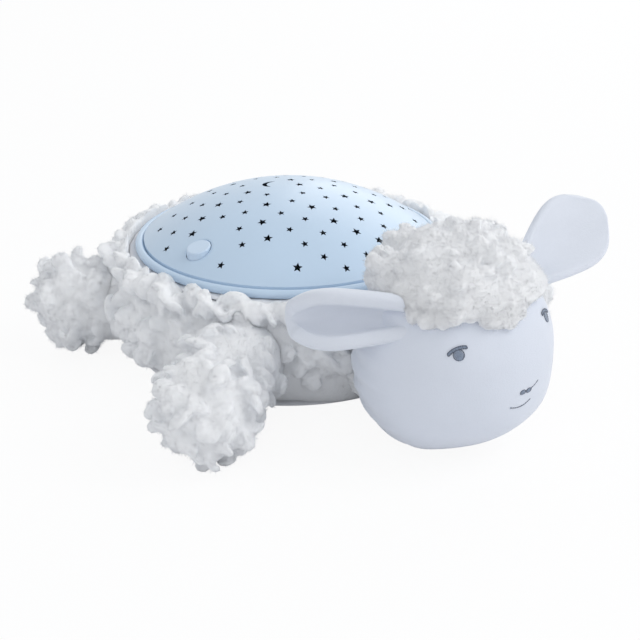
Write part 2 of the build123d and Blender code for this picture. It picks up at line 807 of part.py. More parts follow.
def head_profile(gap):
    """Half section of the head beside its axis, swollen by a gap: flat below, round at jowl and crown."""
    widest, curve = head_radius + gap, jowl_curve + gap
    jowl_x = widest - curve
    jowl_z = math.sqrt(curve**2 - (head_seat_radius - jowl_x) ** 2)
    start = math.atan2(-jowl_z, head_seat_radius - jowl_x)
    jowl_middle = (jowl_x + curve * math.cos(start / 2), jowl_z + curve * math.sin(start / 2))
    eighth = math.pi / 4
    crown_middle = (widest * math.cos(eighth), head_widest_height + widest * math.sin(eighth))
    crown = (0, head_widest_height + widest)
    with BuildSketch(Plane.XZ, mode=Mode.PRIVATE) as section:
        with BuildLine():
            ThreePointArc((head_seat_radius, 0), jowl_middle, (widest, jowl_z))
            Line((widest, jowl_z), (widest, head_widest_height))
            ThreePointArc((widest, head_widest_height), crown_middle, crown)
            Polyline(crown, (0, 0), (head_seat_radius, 0))
        make_face()
    return section.sketch


# Stuffed body
with BuildPart() as body_plush:
    add(body_profile(0))
    revolve(axis=Axis.Z)
save(body_plush, "body_plush")

with BuildPart() as body_cutter:
    add(body_profile(seam_gap))
    revolve(axis=Axis.Z)

# Feet: a short leg that ends in a tufted pom-pom, cut by the body
feet = {
    "front_foot_right": (-1, front_bearing, front_right_reach, front_foot_radius),
    "front_foot_left": (1, front_bearing, front_left_reach, front_foot_radius),
    "rear_foot_right": (-1, rear_bearing, rear_reach, rear_foot_radius),
    "rear_foot_left": (1, rear_bearing, rear_reach, rear_foot_radius),
}
for name, (side, bearing, reach, radius) in feet.items():
    way_x, way_y = bearing_point(1, bearing, side)
    foot_frame = Plane(origin=(0, 0, radius), x_dir=(way_x, way_y, 0), z_dir=(way_y, -way_x, 0))
    centre = body_radius + reach
    core = radius - tuft_rise
    core_side = core * math.sqrt(0.5)
    leg_start = body_radius - leg_sink
    pom = Plane(origin=(way_x * centre, way_y * centre, radius), x_dir=(0, 0, 1), z_dir=(way_x, way_y, 0))
    tufted = [way for way in tuft_ways(radius) if way.Z > -tuft_back_share]
    with BuildPart() as foot:
        with BuildSketch(foot_frame):
            with BuildLine():
                Polyline((centre, core), (leg_start, leg_radius), (leg_start, 0), (centre + core, 0))
                ThreePointArc((centre + core, 0), (centre + core_side, core_side), (centre, core))
            make_face()
        revolve(axis=Axis(foot_frame.origin, foot_frame.x_dir))
        with Locations(*[pom.from_local_coords(way * (radius - tuft_radius)) for way in tufted]):
            Sphere(tuft_radius)
        add(body_cutter.part, mode=Mode.SUBTRACT)
    save(foot, name)

# Head, cut by the body
with BuildPart() as head:
    add(head_profile(0))
    revolve(axis=Axis.Z)
    add(Pos(0, -head_y, 0) * body_cutter.part, mode=Mode.SUBTRACT)
head.part.position = (0, head_y, 0)
save(head, "head")

# Wool cap over the top and back of the head: a shell with tufts that hang over its edge, clear of the ears
ahead_slope, side_slope = math.tan(math.radians(cap_slope)), math.tan(math.radians(cap_tilt))
cap_edge = Plane(origin=(0, 0, cap_edge_height), z_dir=(-side_slope, ahead_slope, 1))
cap_outside = head_radius + cap_thickness + tuft_rise
ear_right_root = Vector(-ear_right_spread, -ear_right_ahead, ear_right_height)
ear_left_root = Vector(ear_left_spread, -ear_left_ahead, ear_left_height)
ears = {
    "ear_right": (ear_right_root, ear_right_way, ear_right_face),
    "ear_left": (ear_left_root, ear_left_way, ear_left_face),
}
cap_tufts = []
for way in tuft_ways(cap_outside):
    place = Vector(0, 0, head_widest_height) + way * (cap_outside - tuft_radius)
    above_edge = cap_edge.to_local_coords(place).Z > tuft_rise
    if above_edge and all((place - ear[0]).length > tuft_radius + ear_thickness for ear in ears.values()):
        cap_tufts.append(place)
with BuildPart() as wool_cap:
    add(head_profile(cap_thickness))
    revolve(axis=Axis.Z)
    split(bisect_by=cap_edge, keep=Keep.TOP)
    with Locations(*cap_tufts):
        Sphere(tuft_radius)
    add(head_profile(seam_gap))
    revolve(axis=Axis.Z, mode=Mode.SUBTRACT)
wool_cap.part.position = (0, head_y, 0)
save(wool_cap, "wool_cap")

with BuildPart() as head_cutter:
    add(head_profile(seam_gap))
    revolve(axis=Axis.Z)
head_cutter.part.position = (0, head_y, 0)

# Ears: cupped leaves, each lofted through sections along its length and cut by the head and its wool
for name, (place, way, face) in ears.items():
    along = Vector(*way).normalized()
    across = Vector(*face).cross(along).normalized()
    root = place + Vector(0, head_y, 0)
    with BuildPart() as ear:
        for far, wide, deep in zip(ear_along_shares, ear_width_shares, ear_cup_shares):
            half, cup = wide * ear_width / 2, deep * ear_cup
            with BuildSketch(Plane(origin=root + along * (far * ear_length), x_dir=across, z_dir=along)):
                with BuildLine():
                    ThreePointArc((-half, ear_edge / 2), (0, ear_thickness / 2 - cup), (half, ear_edge / 2))
                    Line((half, ear_edge / 2), (half, -ear_edge / 2))
                    hollow = -ear_thickness / 2 - cup
                    ThreePointArc((half, -ear_edge / 2), (0, hollow), (-half, -ear_edge / 2))
                    Line((-half, -ear_edge / 2), (-half, ear_edge / 2))
                make_face()
        loft()
        add(head_cutter.part, mode=Mode.SUBTRACT)
        add(wool_cap.part, mode=Mode.SUBTRACT)
    save(ear, name)

# Embroidered face: thin patches that follow the head
turn, tilt = math.radians(face_turn), math.radians(face_tilt)
ahead = Vector(math.sin(turn), -math.cos(turn), 0)
level = Vector(math.cos(turn), math.sin(turn), 0)
face_left = level * math.cos(tilt) + Vector(0, 0, 1) * math.sin(tilt)
face_up = Vector(0, 0, 1) * math.cos(tilt) - level * math.sin(tilt)
head_middle = Vector(0, head_y, head_widest_height)

with BuildPart() as face_skin:
    add(head_profile(thread))
    revolve(axis=Axis.Z)
    add(head_profile(0))
    revolve(axis=Axis.Z, mode=Mode.SUBTRACT)
face_skin.part.position = (0, head_y, 0)


def face_frame(side, rise):
    """Plane through the head's middle that faces a place on the face."""
    depth = math.sqrt(head_radius**2 - side**2 - rise**2)
    outward = (face_left * side + face_up * rise + ahead * depth).normalized()
    return Plane(origin=head_middle, x_dir=face_left - outward * face_left.dot(outward), z_dir=outward)


def stroke(frame, width, thickness, sag):
    """Crescent stroke on a plane, arched by its sag."""
    with BuildSketch(frame, mode=Mode.PRIVATE) as crescent:
        with BuildLine():
            ThreePointArc((-width / 2, 0), (0, sag), (width / 2, 0))
            ThreePointArc((width / 2, 0), (0, sag - thickness), (-width / 2, 0))
        make_face()
    return crescent.sketch


for name, side in (("eye_right", -1), ("eye_left", 1)):
    frame = face_frame(side * eye_spread, eye_rise)
    with BuildPart() as eye:
        with BuildSketch(frame):
            with Locations((0, lid_sag - lid_thickness - iris_radius)):
                Circle(iris_radius)
        add(stroke(frame, lid_width, lid_thickness, lid_sag))
        extrude(amount=2 * head_radius, dir=frame.z_dir)
        add(face_skin.part, mode=Mode.INTERSECT)
    save(eye, name)

with BuildPart() as nose:
    with BuildSketch(face_frame(nose_side, -nose_drop)):
        Ellipse(nose_width / 2, nose_height / 2)
    extrude(amount=2 * head_radius)
    add(face_skin.part, mode=Mode.INTERSECT)
save(nose, "nose")

with BuildPart() as mouth:
    mouth_frame = face_frame(mouth_side, -mouth_drop)
    add(stroke(mouth_frame, mouth_width, -mouth_thickness, -mouth_sag))
    extrude(amount=2 * head_radius, dir=mouth_frame.z_dir)
    add(face_skin.part, mode=Mode.INTERSECT)
save(mouth, "mouth")

# Wires from the main board's sockets, under the deck and up to the lamp board and the switch board
lead_run = deck_base - lead_drop
for name, start, end in zip(("lamp_lead", "switch_lead"), socket_places, lead_ends):
    with BuildPart() as lead:
        with BuildLine() as route:
            FilletPolyline(
                (*start, board_top + socket_height),
                (*start, lead_run),
                (*end, lead_run),
                (*end, lamp_board_base),
                radius=lead_bend,
            )
        with BuildSketch(Plane(origin=route.line @ 0, z_dir=route.line % 0)):
            Circle(lead_radius)
        sweep()
    save(lead, name)

# Wires from the end contacts up to the main board
with BuildPart() as battery_leads:
    with BuildSketch(Plane.XY.offset(cell_height + contact_height / 2)):
        with Locations(*battery_lead_places):
            Circle(lead_radius)
    extrude(amount=board_base - cell_height - contact_height / 2)
save(battery_leads, "battery_leads")
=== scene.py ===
"""Looks of a plush lamb night light: tufted wool, smooth pile, a stitched face, a star dome and its works."""
import math
import random
from typing import NamedTuple

import bmesh
import bpy
from mathutils import Matrix, Vector, noise
from mathutils.bvhtree import BVHTree


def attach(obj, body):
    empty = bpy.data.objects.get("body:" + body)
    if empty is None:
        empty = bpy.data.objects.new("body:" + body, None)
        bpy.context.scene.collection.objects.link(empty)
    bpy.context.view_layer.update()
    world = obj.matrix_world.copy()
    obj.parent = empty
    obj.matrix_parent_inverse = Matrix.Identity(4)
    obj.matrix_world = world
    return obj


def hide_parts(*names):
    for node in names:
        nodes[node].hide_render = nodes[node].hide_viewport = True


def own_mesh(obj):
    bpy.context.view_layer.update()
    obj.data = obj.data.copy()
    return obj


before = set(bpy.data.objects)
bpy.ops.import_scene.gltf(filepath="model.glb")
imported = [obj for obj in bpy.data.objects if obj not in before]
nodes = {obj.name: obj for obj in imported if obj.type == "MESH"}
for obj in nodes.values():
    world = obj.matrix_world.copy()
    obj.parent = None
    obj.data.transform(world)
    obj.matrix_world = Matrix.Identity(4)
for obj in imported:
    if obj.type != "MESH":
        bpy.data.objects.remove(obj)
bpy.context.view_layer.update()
scene = bpy.context.scene

MM = 0.001

# Sizes of the lamb, in millimetres, as in the CAD model
HEAD_Y = -128.0
HEAD_RADIUS = 42.5
HEAD_SEAT = 14.0
HEAD_WIDEST = 47.0
JOWL_CURVE = 39.0
CAP_EDGE = 72.5
CAP_SLOPE = 0.02  # fall of the cap's edge towards the back and the lamb's left
CAP_THICKNESS = 5.2
BODY_RADIUS = 91.0
BODY_TOP = 50.7
DOME_RADIUS = 116.815  # sphere of the dome's outside
DOME_MIDDLE = -35.915  # height of that sphere's centre
DOME_EDGE = 57.0  # where the dome's curve meets its bead
DISH_RADIUS = 8.5  # finger dish round the button
DISH_DEPTH = 0.9
PAD_BASE = 42.4  # rubber dome under the button
PAD_TOP = 46.6
PAD_BASE_RADIUS = 4.6
PAD_TOP_RADIUS = 3.0
PAD_WALL = 0.8
CELL_BARE = 23.4  # where a cell's wrap ends, from its middle
TUFT_RADIUS = 9.0  # round tufts of the feet and the cap
TUFT_RISE = 5.5
TUFT_SPACING = 21.0
TUFT_BACK = 0.2  # how far back on a foot they go, as a share of its radius
EAR_ROOTS = {"ear_right": Vector((-33.0, HEAD_Y - 6.0, 68.0)), "ear_left": Vector((34.0, HEAD_Y - 5.0, 70.5))}
FEET = {
    # side, bearing from straight ahead, reach of the foot's centre, foot radius, depth of its locks' roots
    "front_foot_right": (-1, 48.0, 131.0, 26.0, 4.0),
    "front_foot_left": (1, 48.0, 106.0, 26.0, 7.0),
    "rear_foot_right": (-1, 119.0, 104.0, 24.5, 4.0),
    "rear_foot_left": (1, 119.0, 104.0, 24.5, 4.0),
}

# Wool, in millimetres
FLOOR_CLEAR = 0.25  # lowest wool above the floor
TUFT_SINK = 2.0  # tufts below the locks that grow from them
CORE_GRAIN = 2.0  # voxels of the felt under the locks
CORE_PASSES = 4  # and its softening
STRAY = 0.3  # how far locks in a row stray, as a share of a step
FIBRE_RADIUS = 0.13
FIBRE_LENGTH = (0.8, 2.2)
FIBRE_ROOT = 0.3  # of a fibre, inside the felt
FIBRE_SPREAD = 0.8
FIBRE_BATCH = 60  # fibres made at a time


class Fleece(NamedTuple):
    """Wool of a piece: most locks, their least spacing and their size, and its felt's voxels, softening and fibres."""

    locks: int
    spacing: float
    size: float
    grain: float
    passes: int
    fibres: int


BODY_FLEECE = Fleece(locks=2400, spacing=6.6, size=0.95, grain=1.15, passes=1, fibres=24000)
FOOT_FLEECE = Fleece(locks=340, spacing=6.4, size=0.85, grain=1.0, passes=1, fibres=5500)
CAP_FLEECE = Fleece(locks=1200, spacing=5.0, size=0.7, grain=1.0, passes=2, fibres=10000)


# Shading

class Value:
    """A number or colour that a node gives out. Arithmetic on it adds Math nodes to its tree."""

    def __init__(self, shading, socket):
        self.shading = shading
        self.socket = socket

    def math(self, operation, first, second):
        return self.shading.node("ShaderNodeMath", {"operation": operation}, {0: first, 1: second})

    def __add__(self, other):
        return self.math("ADD", self, other)

    def __sub__(self, other):
        return self.math("SUBTRACT", self, other)

    def __rsub__(self, other):
        return self.math("SUBTRACT", other, self)

    def __mul__(self, other):
        return self.math("MULTIPLY", self, other)

    def __gt__(self, other):
        return self.math("GREATER_THAN", self, other)

    __radd__ = __add__
    __rmul__ = __mul__


class Shading:
    """The node tree of a material or the world."""

    def __init__(self, tree):
        self.nodes = tree.nodes
        self.links = tree.links

    def node(self, kind, settings=None, inputs=None, out=0):
        """Adds a node: its settings first, then the values or links of its sockets."""
        made = self.nodes.new(kind)
        for name, value in (settings or {}).items():
            setattr(made, name, value)
        for socket, value in (inputs or {}).items():
            self.feed(made.inputs[socket], value)
        return Value(self, made.outputs[out])

    def feed(self, socket, value):
        if isinstance(value, Value):
            self.links.new(value.socket, socket)
        else:
            socket.default_value = value


class Finish(Shading):
    """A material with one Principled shader. Keyword arguments are its constant sockets."""

    def __init__(self, name, **fixed):
        self.material = bpy.data.materials.new(name)
        self.material.use_nodes = True
        super().__init__(self.material.node_tree)
        self.shader = self.nodes["Principled BSDF"]
        for socket, value in fixed.items():
            self.shader.inputs[socket.replace("_", " ").title().replace("Ior", "IOR")].default_value = value
        self.place = self.node("ShaderNodeTexCoord", out="Object")

    def paint(self, socket, value):
        self.feed(self.shader.inputs[socket], value)

    def noise(self, size, detail=2.0, rough=0.5):
        """Noise whose blobs are about a size in millimetres across."""
        inputs = {"Vector": self.place, "Scale": 1 / (size * MM), "Detail": detail, "Roughness": rough}
        return self.node("ShaderNodeTexNoise", None, inputs)

    def mix(self, factor, first, second):
        """Colour between two colours, written out or from nodes."""
        first, second = [c if isinstance(c, Value) else (*c, 1) for c in (first, second)]
        return self.node("ShaderNodeMix", {"data_type": "RGBA"}, {0: factor, 6: first, 7: second}, 2)

    def bump(self, height, depth, strength=1.0):
        """Raises the surface by a height of 0 to 1 times a depth in millimetres."""
        inputs = {"Strength": strength, "Distance": depth * MM, "Height": height}
        self.paint("Normal", self.node("ShaderNodeBump", None, inputs))


def shade(colour, factor):
    """A colour made darker or lighter."""
    return tuple(min(1.0, channel * factor) for channel in colour)


def moulded_plastic(name, colour, rough, grain=0.35, depth=0.012, **fixed):
    """Moulded plastic: faint flow marks in its colour and gloss, and a fine spark-eroded grain."""
    f = Finish(name, **fixed)
    flow = f.noise(22, 3)
    spark = f.noise(grain, 2)
    f.paint("Base Color", f.mix(flow, shade(colour, 0.965), shade(colour, 1.03)))
    f.paint("Roughness", rough + 0.14 * (flow - 0.5) + 0.08 * (spark - 0.5))
    f.bump(spark, depth)
    return f.material


# Deeper than this below the outer sphere, the dome's inside and its star holes are painted shade.
SKIN_DEPTH = 0.12  # of the dome's colour below its outer sphere, in millimetres
DISH_MARGIN = 0.6  # of the colour round the dish
BEAD_MARGIN = 0.3  # of the colour above the bead


def shade_painted_dome(name, colour, rough, inside, dish, **fixed):
    """Moulded plastic dome with painted shade: dark on its inside and in its star holes, below its outer sphere, save
    at the dish and bead.
    """
    f = Finish(name, **fixed)
    flow = f.noise(22, 3)
    spark = f.noise(0.35, 2)
    offset = f.node("ShaderNodeVectorMath", {"operation": "SUBTRACT"}, {0: f.place, 1: (0, 0, DOME_MIDDLE * MM)})
    away = f.node("ShaderNodeVectorMath", {"operation": "LENGTH"}, {0: offset}, 1)
    skin = away > (DOME_RADIUS - SKIN_DEPTH) * MM
    height = f.node("ShaderNodeSeparateXYZ", None, {"Vector": f.place}, 2)
    spot = f.node("ShaderNodeVectorMath", {"operation": "SUBTRACT"}, {0: f.place, 1: dish})
    beside = f.node("ShaderNodeVectorMath", {"operation": "LENGTH"}, {0: spot}, 1)
    in_dish = ((DISH_RADIUS + DISH_MARGIN) * MM - beside > 0) * (away > (DOME_RADIUS - DISH_DEPTH) * MM)
    unshaded = skin + in_dish + ((DOME_EDGE + BEAD_MARGIN) * MM - height > 0)
    moulded = f.mix(flow, shade(colour, 0.965), shade(colour, 1.03))
    # Painted shade: the dark colour replaces the moulded colour inside the dome and in its star holes.
    f.paint("Base Color", f.mix(unshaded, inside, moulded))
    f.paint("Roughness", rough + 0.14 * (flow - 0.5) + 0.08 * (spark - 0.5))
    f.bump(spark, 0.012)
    return f.material


def tufted_wool(name, colour):
    """Wool locks: soft cloudy shading between clumps, with fine crimped fibres."""
    f = Finish(
        name, roughness=0.9, sheen_weight=0.2, sheen_roughness=0.6, specular_ior_level=0.1,
        subsurface_weight=1.0, subsurface_scale=7 * MM, subsurface_radius=(1.0, 1.0, 1.0),
    )
    clump = f.noise(9, 2, 0.6)
    strand = f.noise(2.4, 3, 0.6)
    fibre = f.noise(0.7, 4, 0.7)
    f.paint("Base Color", f.mix(clump * 0.4 + strand * 0.3 + fibre * 0.3, shade(colour, 0.94), shade(colour, 1.05)))
    f.bump(fibre * 0.5 + strand, 0.5, 0.7)
    return f.material


def loose_fibre(name, colour):
    """Single fibres of wool: matt and pale, a little uneven from one to the next."""
    f = Finish(name, roughness=1.0, sheen_weight=0.3, sheen_roughness=0.6, specular_ior_level=0.0)
    f.paint("Base Color", f.mix(f.noise(3, 2), shade(colour, 0.97), shade(colour, 1.03)))
    return f.material


def short_pile(name, colour):
    """Smooth short pile: a velvety nap with brushed patches and a knitted ground."""
    f = Finish(name, roughness=0.85, sheen_weight=0.35, sheen_roughness=0.45, specular_ior_level=0.2)
    nap = f.noise(0.55, 3, 0.6)
    brushed = f.noise(16, 2, 0.45)
    f.paint("Base Color", f.mix(brushed * 0.5 + nap * 0.5, shade(colour, 0.955), shade(colour, 1.035)))
    f.bump(nap + brushed * 0.6, 0.18, 0.6)
    return f.material


def satin_thread(name, colour):
    """Embroidery thread: silky, darker and lighter from stitch to stitch."""
    f = Finish(name, roughness=0.42, sheen_weight=0.4, sheen_roughness=0.3)
    strand = f.noise(0.8, 2)
    ply = f.noise(0.18, 1)
    f.paint("Base Color", f.mix(strand, shade(colour, 0.7), shade(colour, 1.35)))
    f.bump(ply, 0.08)
    return f.material


def plated_metal(name, colour, rough):
    """Plated steel: fine drawn lines and a little tarnish."""
    f = Finish(name, metallic=1.0)
    lines = f.noise(0.25, 2)
    tarnish = f.noise(3, 3)
    f.paint("Base Color", f.mix(tarnish, shade(colour, 0.82), colour))
    f.paint("Roughness", rough + 0.2 * (tarnish - 0.5))
    f.bump(lines, 0.008)
    return f.material


def solder_mask(name, colour):
    """Circuit board: green lacquer over raised square tracks."""
    f = Finish(name, roughness=0.35, coat_weight=0.4, coat_roughness=0.2)
    settings = {"feature": "F1", "distance": "CHEBYCHEV"}
    cell = f.node("ShaderNodeTexVoronoi", settings, {"Vector": f.place, "Scale": 1 / (5 * MM), "Randomness": 0.6})
    track = cell > 0.36
    f.paint("Base Color", f.mix(track, colour, shade(colour, 1.5)))
    f.bump(track, 0.04)
    return f.material


def cell_wrap(name, colour, end):
    """Dry cell: a plain wrap with a bright metal band at both ends."""
    f = Finish(name, roughness=0.3, coat_weight=0.3)
    length = f.node("ShaderNodeSeparateXYZ", None, {"Vector": f.place}, 1)
    away = f.node("ShaderNodeMath", {"operation": "ABSOLUTE"}, {0: length})
    bare = away > CELL_BARE * MM
    scuff = f.noise(2, 3)
    f.paint("Base Color", f.mix(bare, colour, end))
    f.paint("Metallic", bare)
    f.paint("Roughness", 0.28 + 0.15 * scuff)
    return f.material


def tinted_lens(name, colour):
    """Clear tinted epoxy of a lamp, a little cloudy in patches."""
    f = Finish(name, roughness=0.12, coat_weight=0.6, transmission_weight=0.35)
    cloud = f.noise(1.6, 2)
    f.paint("Base Color", f.mix(cloud, shade(colour, 0.8), shade(colour, 1.15)))
    f.paint("Roughness", 0.1 + 0.12 * cloud)
    return f.material


wool_finish = tufted_wool("wool", (0.925, 0.945, 1.0))
fibre_finish = loose_fibre("fibre", (0.945, 0.957, 1.0))
pile_finish = short_pile("pile", (0.73, 0.765, 0.84))
ear_finish = short_pile("ear_pile", (0.745, 0.775, 0.84))
cloth_finish = short_pile("cloth", (0.8, 0.8, 0.82))
stitch_grey = satin_thread("stitch_grey", (0.25, 0.3, 0.39))
stitch_dark = satin_thread("stitch_dark", (0.1, 0.12, 0.165))

# Middle of the finger dish, on the dome's outer sphere over the button
button_corners = [nodes["mode_button"].matrix_world @ Vector(c) for c in nodes["mode_button"].bound_box]
dish_spot = sum(button_corners, Vector()) / 8
dish_reach = math.hypot(dish_spot.x, dish_spot.y)
dish_spot.z = DOME_MIDDLE * MM + math.sqrt((DOME_RADIUS * MM) ** 2 - dish_reach**2)
# The near-black colour is painted shade for the dome's inside and its star holes.
dome_blue = shade_painted_dome(
    "dome_blue", (0.535, 0.67, 0.815), 0.34, (0.012, 0.016, 0.026), dish_spot,
    coat_weight=0.12, coat_roughness=0.25,
)
button_blue = moulded_plastic("button_blue", (0.59, 0.715, 0.86), 0.3, coat_weight=0.12, coat_roughness=0.25)
housing_white = moulded_plastic("housing_white", (0.72, 0.73, 0.75), 0.45, 0.5, 0.03)
deck_black = moulded_plastic("deck_black", (0.012, 0.013, 0.016), 0.6, 0.5, 0.03)
part_black = moulded_plastic("part_black", (0.02, 0.02, 0.023), 0.5, 0.3)
pad_rubber = moulded_plastic("pad_rubber", (0.55, 0.55, 0.53), 0.7)
wire_red = moulded_plastic("wire_red", (0.42, 0.03, 0.025), 0.4)
screw_steel = plated_metal("screw_steel", (0.56, 0.57, 0.58), 0.3)
contact_nickel = plated_metal("contact_nickel", (0.68, 0.67, 0.63), 0.25)
board_green = solder_mask("board_green", (0.02, 0.16, 0.06))
cell_grey = cell_wrap("cell_grey", (0.06, 0.07, 0.085), (0.66, 0.65, 0.62))

carried_over = {
    dome_blue: ["star_dome"],
    button_blue: ["mode_button"],
    housing_white: ["housing_tub", "battery_door"],
    screw_steel: ["door_screw", "housing_screws", "board_screws", "led_board_screws", "switch_board_screws"],
    cell_grey: ["battery_cells"],
    contact_nickel: ["contacts_front", "contacts_rear"],
    wire_red: ["battery_leads", "lamp_lead", "switch_lead"],
    board_green: ["main_board", "led_board", "switch_board"],
    part_black: ["board_components"],
    deck_black: ["light_deck"],
    tinted_lens("lamp_red", (0.8, 0.06, 0.05)): ["led_red"],
    tinted_lens("lamp_green", (0.08, 0.6, 0.12)): ["led_green"],
    tinted_lens("lamp_blue", (0.06, 0.14, 0.8)): ["led_blue"],
}
for material, names in carried_over.items():
    for name in names:
        nodes[name].data.materials.clear()
        nodes[name].data.materials.append(material)


# Shapes

def arc_through(first, middle, last, steps):
    """Points on the circle through three points, from the first to the last."""
    (ax, ay), (bx, by), (cx, cy) = first, middle, last
    d = 2 * (ax * (by - cy) + bx * (cy - ay) + cx * (ay - by))
    a2, b2, c2 = ax * ax + ay * ay, bx * bx + by * by, cx * cx + cy * cy
    ux = (a2 * (by - cy) + b2 * (cy - ay) + c2 * (ay - by)) / d
    uy = (a2 * (cx - bx) + b2 * (ax - cx) + c2 * (bx - ax)) / d
    radius = math.hypot(ax - ux, ay - uy)
    start = math.atan2(ay - uy, ax - ux)
    turn = [(math.atan2(y - uy, x - ux) - start) % math.tau for x, y in (middle, last)]
    whole = turn[1] if turn[0] < turn[1] else turn[1] - math.tau
    angles = [start + whole * n / steps for n in range(steps + 1)]
    return [(ux + radius * math.cos(a), uy + radius * math.sin(a)) for a in angles]


def turned(profile, steps, closed=False):
    """A shape turned about Z from a profile of radius and height in millimetres."""
    bm = bmesh.new()
    rim = [bm.verts.new((r * MM, 0, z * MM)) for r, z in profile]
    pairs = list(zip(rim, rim[1:] + rim[:1]))
    edges = [bm.edges.new(pair) for pair in (pairs if closed else pairs[:-1])]
    bmesh.ops.spin(
        bm, geom=rim + edges, cent=(0, 0, 0), axis=(0, 0, 1), angle=math.tau, steps=steps, use_merge=True
    )
    tidy(bm)
    return bm


def tidy(bm):
    """Merges doubles and turns the faces outwards."""
    bmesh.ops.remove_doubles(bm, verts=bm.verts, dist=0.02 * MM)
    bmesh.ops.recalc_face_normals(bm, faces=bm.faces)


def piece(name, bm, materials, stands_for):
    """Makes an object from a bmesh, smooth, riding on the lamb in place of CAD nodes."""
    mesh = bpy.data.meshes.new(name)
    bm.to_mesh(mesh)
    bm.free()
    for material in materials:
        mesh.materials.append(material)
    mesh.shade_smooth()
    made = bpy.data.objects.new(name, mesh)
    scene.collection.objects.link(made)
    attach(made, "lamb")
    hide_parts(*stands_for)
    return made


def lumps(bm, size, depth):
    """Pushes points in and out along their normals by soft noise, sizes in millimetres."""
    bm.normal_update()
    shift = Vector((7.3, 3.1, 5.7))
    moves = [v.normal * (noise.noise(v.co / (size * MM) + shift) * depth * MM) for v in bm.verts]
    for v, move in zip(bm.verts, moves):
        v.co += move


PUFF_PRESSURE = 4.0
PUFF_LIMIT = 2.5  # the most that a point moves, in millimetres
PUFF_HELD = 1.5  # height below which the underside is held
PUFF_STEPS = 20


def puffed(made):
    """Inflates a stuffed shell with cloth pressure, up to the limit."""
    held = made.vertex_groups.new(name="held")
    held.add([v.index for v in made.data.vertices if v.co.z < PUFF_HELD * MM], 1.0, "REPLACE")
    cloth = made.modifiers.new("puff", "CLOTH")
    cloth.settings.use_pressure = True
    cloth.settings.uniform_pressure_force = PUFF_PRESSURE
    cloth.settings.effector_weights.gravity = 0
    cloth.settings.vertex_group_mass = held.name
    cloth.point_cache.frame_start = 1
    cloth.point_cache.frame_end = PUFF_STEPS
    for step in range(1, PUFF_STEPS + 1):
        scene.frame_set(step)
    blown = made.evaluated_get(bpy.context.evaluated_depsgraph_get()).to_mesh()
    moves = [b.co - v.co for b, v in zip(blown.vertices, made.data.vertices)]
    made.modifiers.remove(cloth)
    made.vertex_groups.remove(held)
    for v, move in zip(made.data.vertices, moves):
        v.co += move * min(1.0, PUFF_LIMIT * MM / max(move.length, 1e-9))
    scene.frame_set(1)


# Wool

def lock_shape(name, width, thickness, length, taper, curl, twist):
    """One lock of wool: a puffy flat petal, with its root at the origin and its length along Z."""
    bm = bmesh.new()
    bmesh.ops.create_uvsphere(bm, u_segments=8, v_segments=6, radius=0.5)
    for v in bm.verts:
        along = v.co.z + 0.5
        swell = 1 + taper * (along - 0.5)
        bend = curl * along * along
        turn = Matrix.Rotation(twist * along, 3, "Z")
        flat = turn @ Vector((v.co.x * width * swell, v.co.y * thickness, 0))
        spine = Vector((0, length * along * math.sin(bend) * 0.6, length * along * math.cos(bend * 0.8)))
        v.co = (Matrix.Rotation(-bend, 3, "X") @ flat + spine) * MM
    bmesh.ops.recalc_face_normals(bm, faces=bm.faces)
    mesh = bpy.data.meshes.new(name)
    bm.to_mesh(mesh)
    bm.free()
    return mesh


LOCKS = [
    # width, thickness and length in millimetres, taper, curl and twist
    lock_shape("lock_petal", 11.0, 4.6, 13.5, 0.4, 0.5, 0.2),
    lock_shape("lock_broad", 13.5, 4.4, 12.5, 0.4, 0.4, -0.3),
    lock_shape("lock_small", 8.5, 4.6, 12.5, 0.4, 0.5, 0.4),
    lock_shape("lock_curled", 10.5, 4.4, 14.5, 0.3, 1.0, 0.5),
]
LOCK_SHARES = [0.36, 0.28, 0.14, 0.22]
LOCK_STRETCH = (0.75, 1.2)
LOCK_TURN = 0.5  # the most that a lock is turned about its length, in radians


def tuft_ways(outside):
    """Directions of the tufts over a ball of a radius in millimetres, on a sunflower spiral from its pole."""
    count = round(4 * math.pi * (outside / TUFT_SPACING) ** 2)
    ways = []
    for n in range(count):
        rise = 1 - (2 * n + 1) / count
        flat = math.sqrt(1 - rise**2)
        turn = n * math.pi * (3 - math.sqrt(5))
        ways.append(Vector((flat * math.cos(turn), flat * math.sin(turn), rise)))
    return ways


def add_tufts(bm, places):
    """Adds a round tuft at each place, in millimetres."""
    for place in places:
        spot = Matrix.Translation(place * MM)
        bmesh.ops.create_icosphere(bm, subdivisions=3, radius=TUFT_RADIUS * MM, matrix=spot)


def scattered(faces, fleece, luck):
    """Seeded places and normals of a fleece's locks on a list of faces, none nearer to another than their spacing."""
    areas = [f.calc_area() for f in faces]
    taken = {}
    places = []
    step = fleece.spacing * MM
    for face in luck.choices(faces, areas, k=fleece.locks * 4):
        if len(places) == fleece.locks:
            break
        corners = [v.co for v in face.verts]
        weights = [luck.random() + 0.01 for c in corners]
        spot = sum((c * w for c, w in zip(corners, weights)), Vector()) / sum(weights)
        cell = tuple(int(math.floor(x / step)) for x in spot)
        near = [
            other
            for dx in (-1, 0, 1) for dy in (-1, 0, 1) for dz in (-1, 0, 1)
            for other in taken.get((cell[0] + dx, cell[1] + dy, cell[2] + dz), ())
        ]
        if all((spot - other).length > step for other in near):
            taken.setdefault(cell, []).append(spot)
            places.append((spot, face.normal.copy()))
    return places


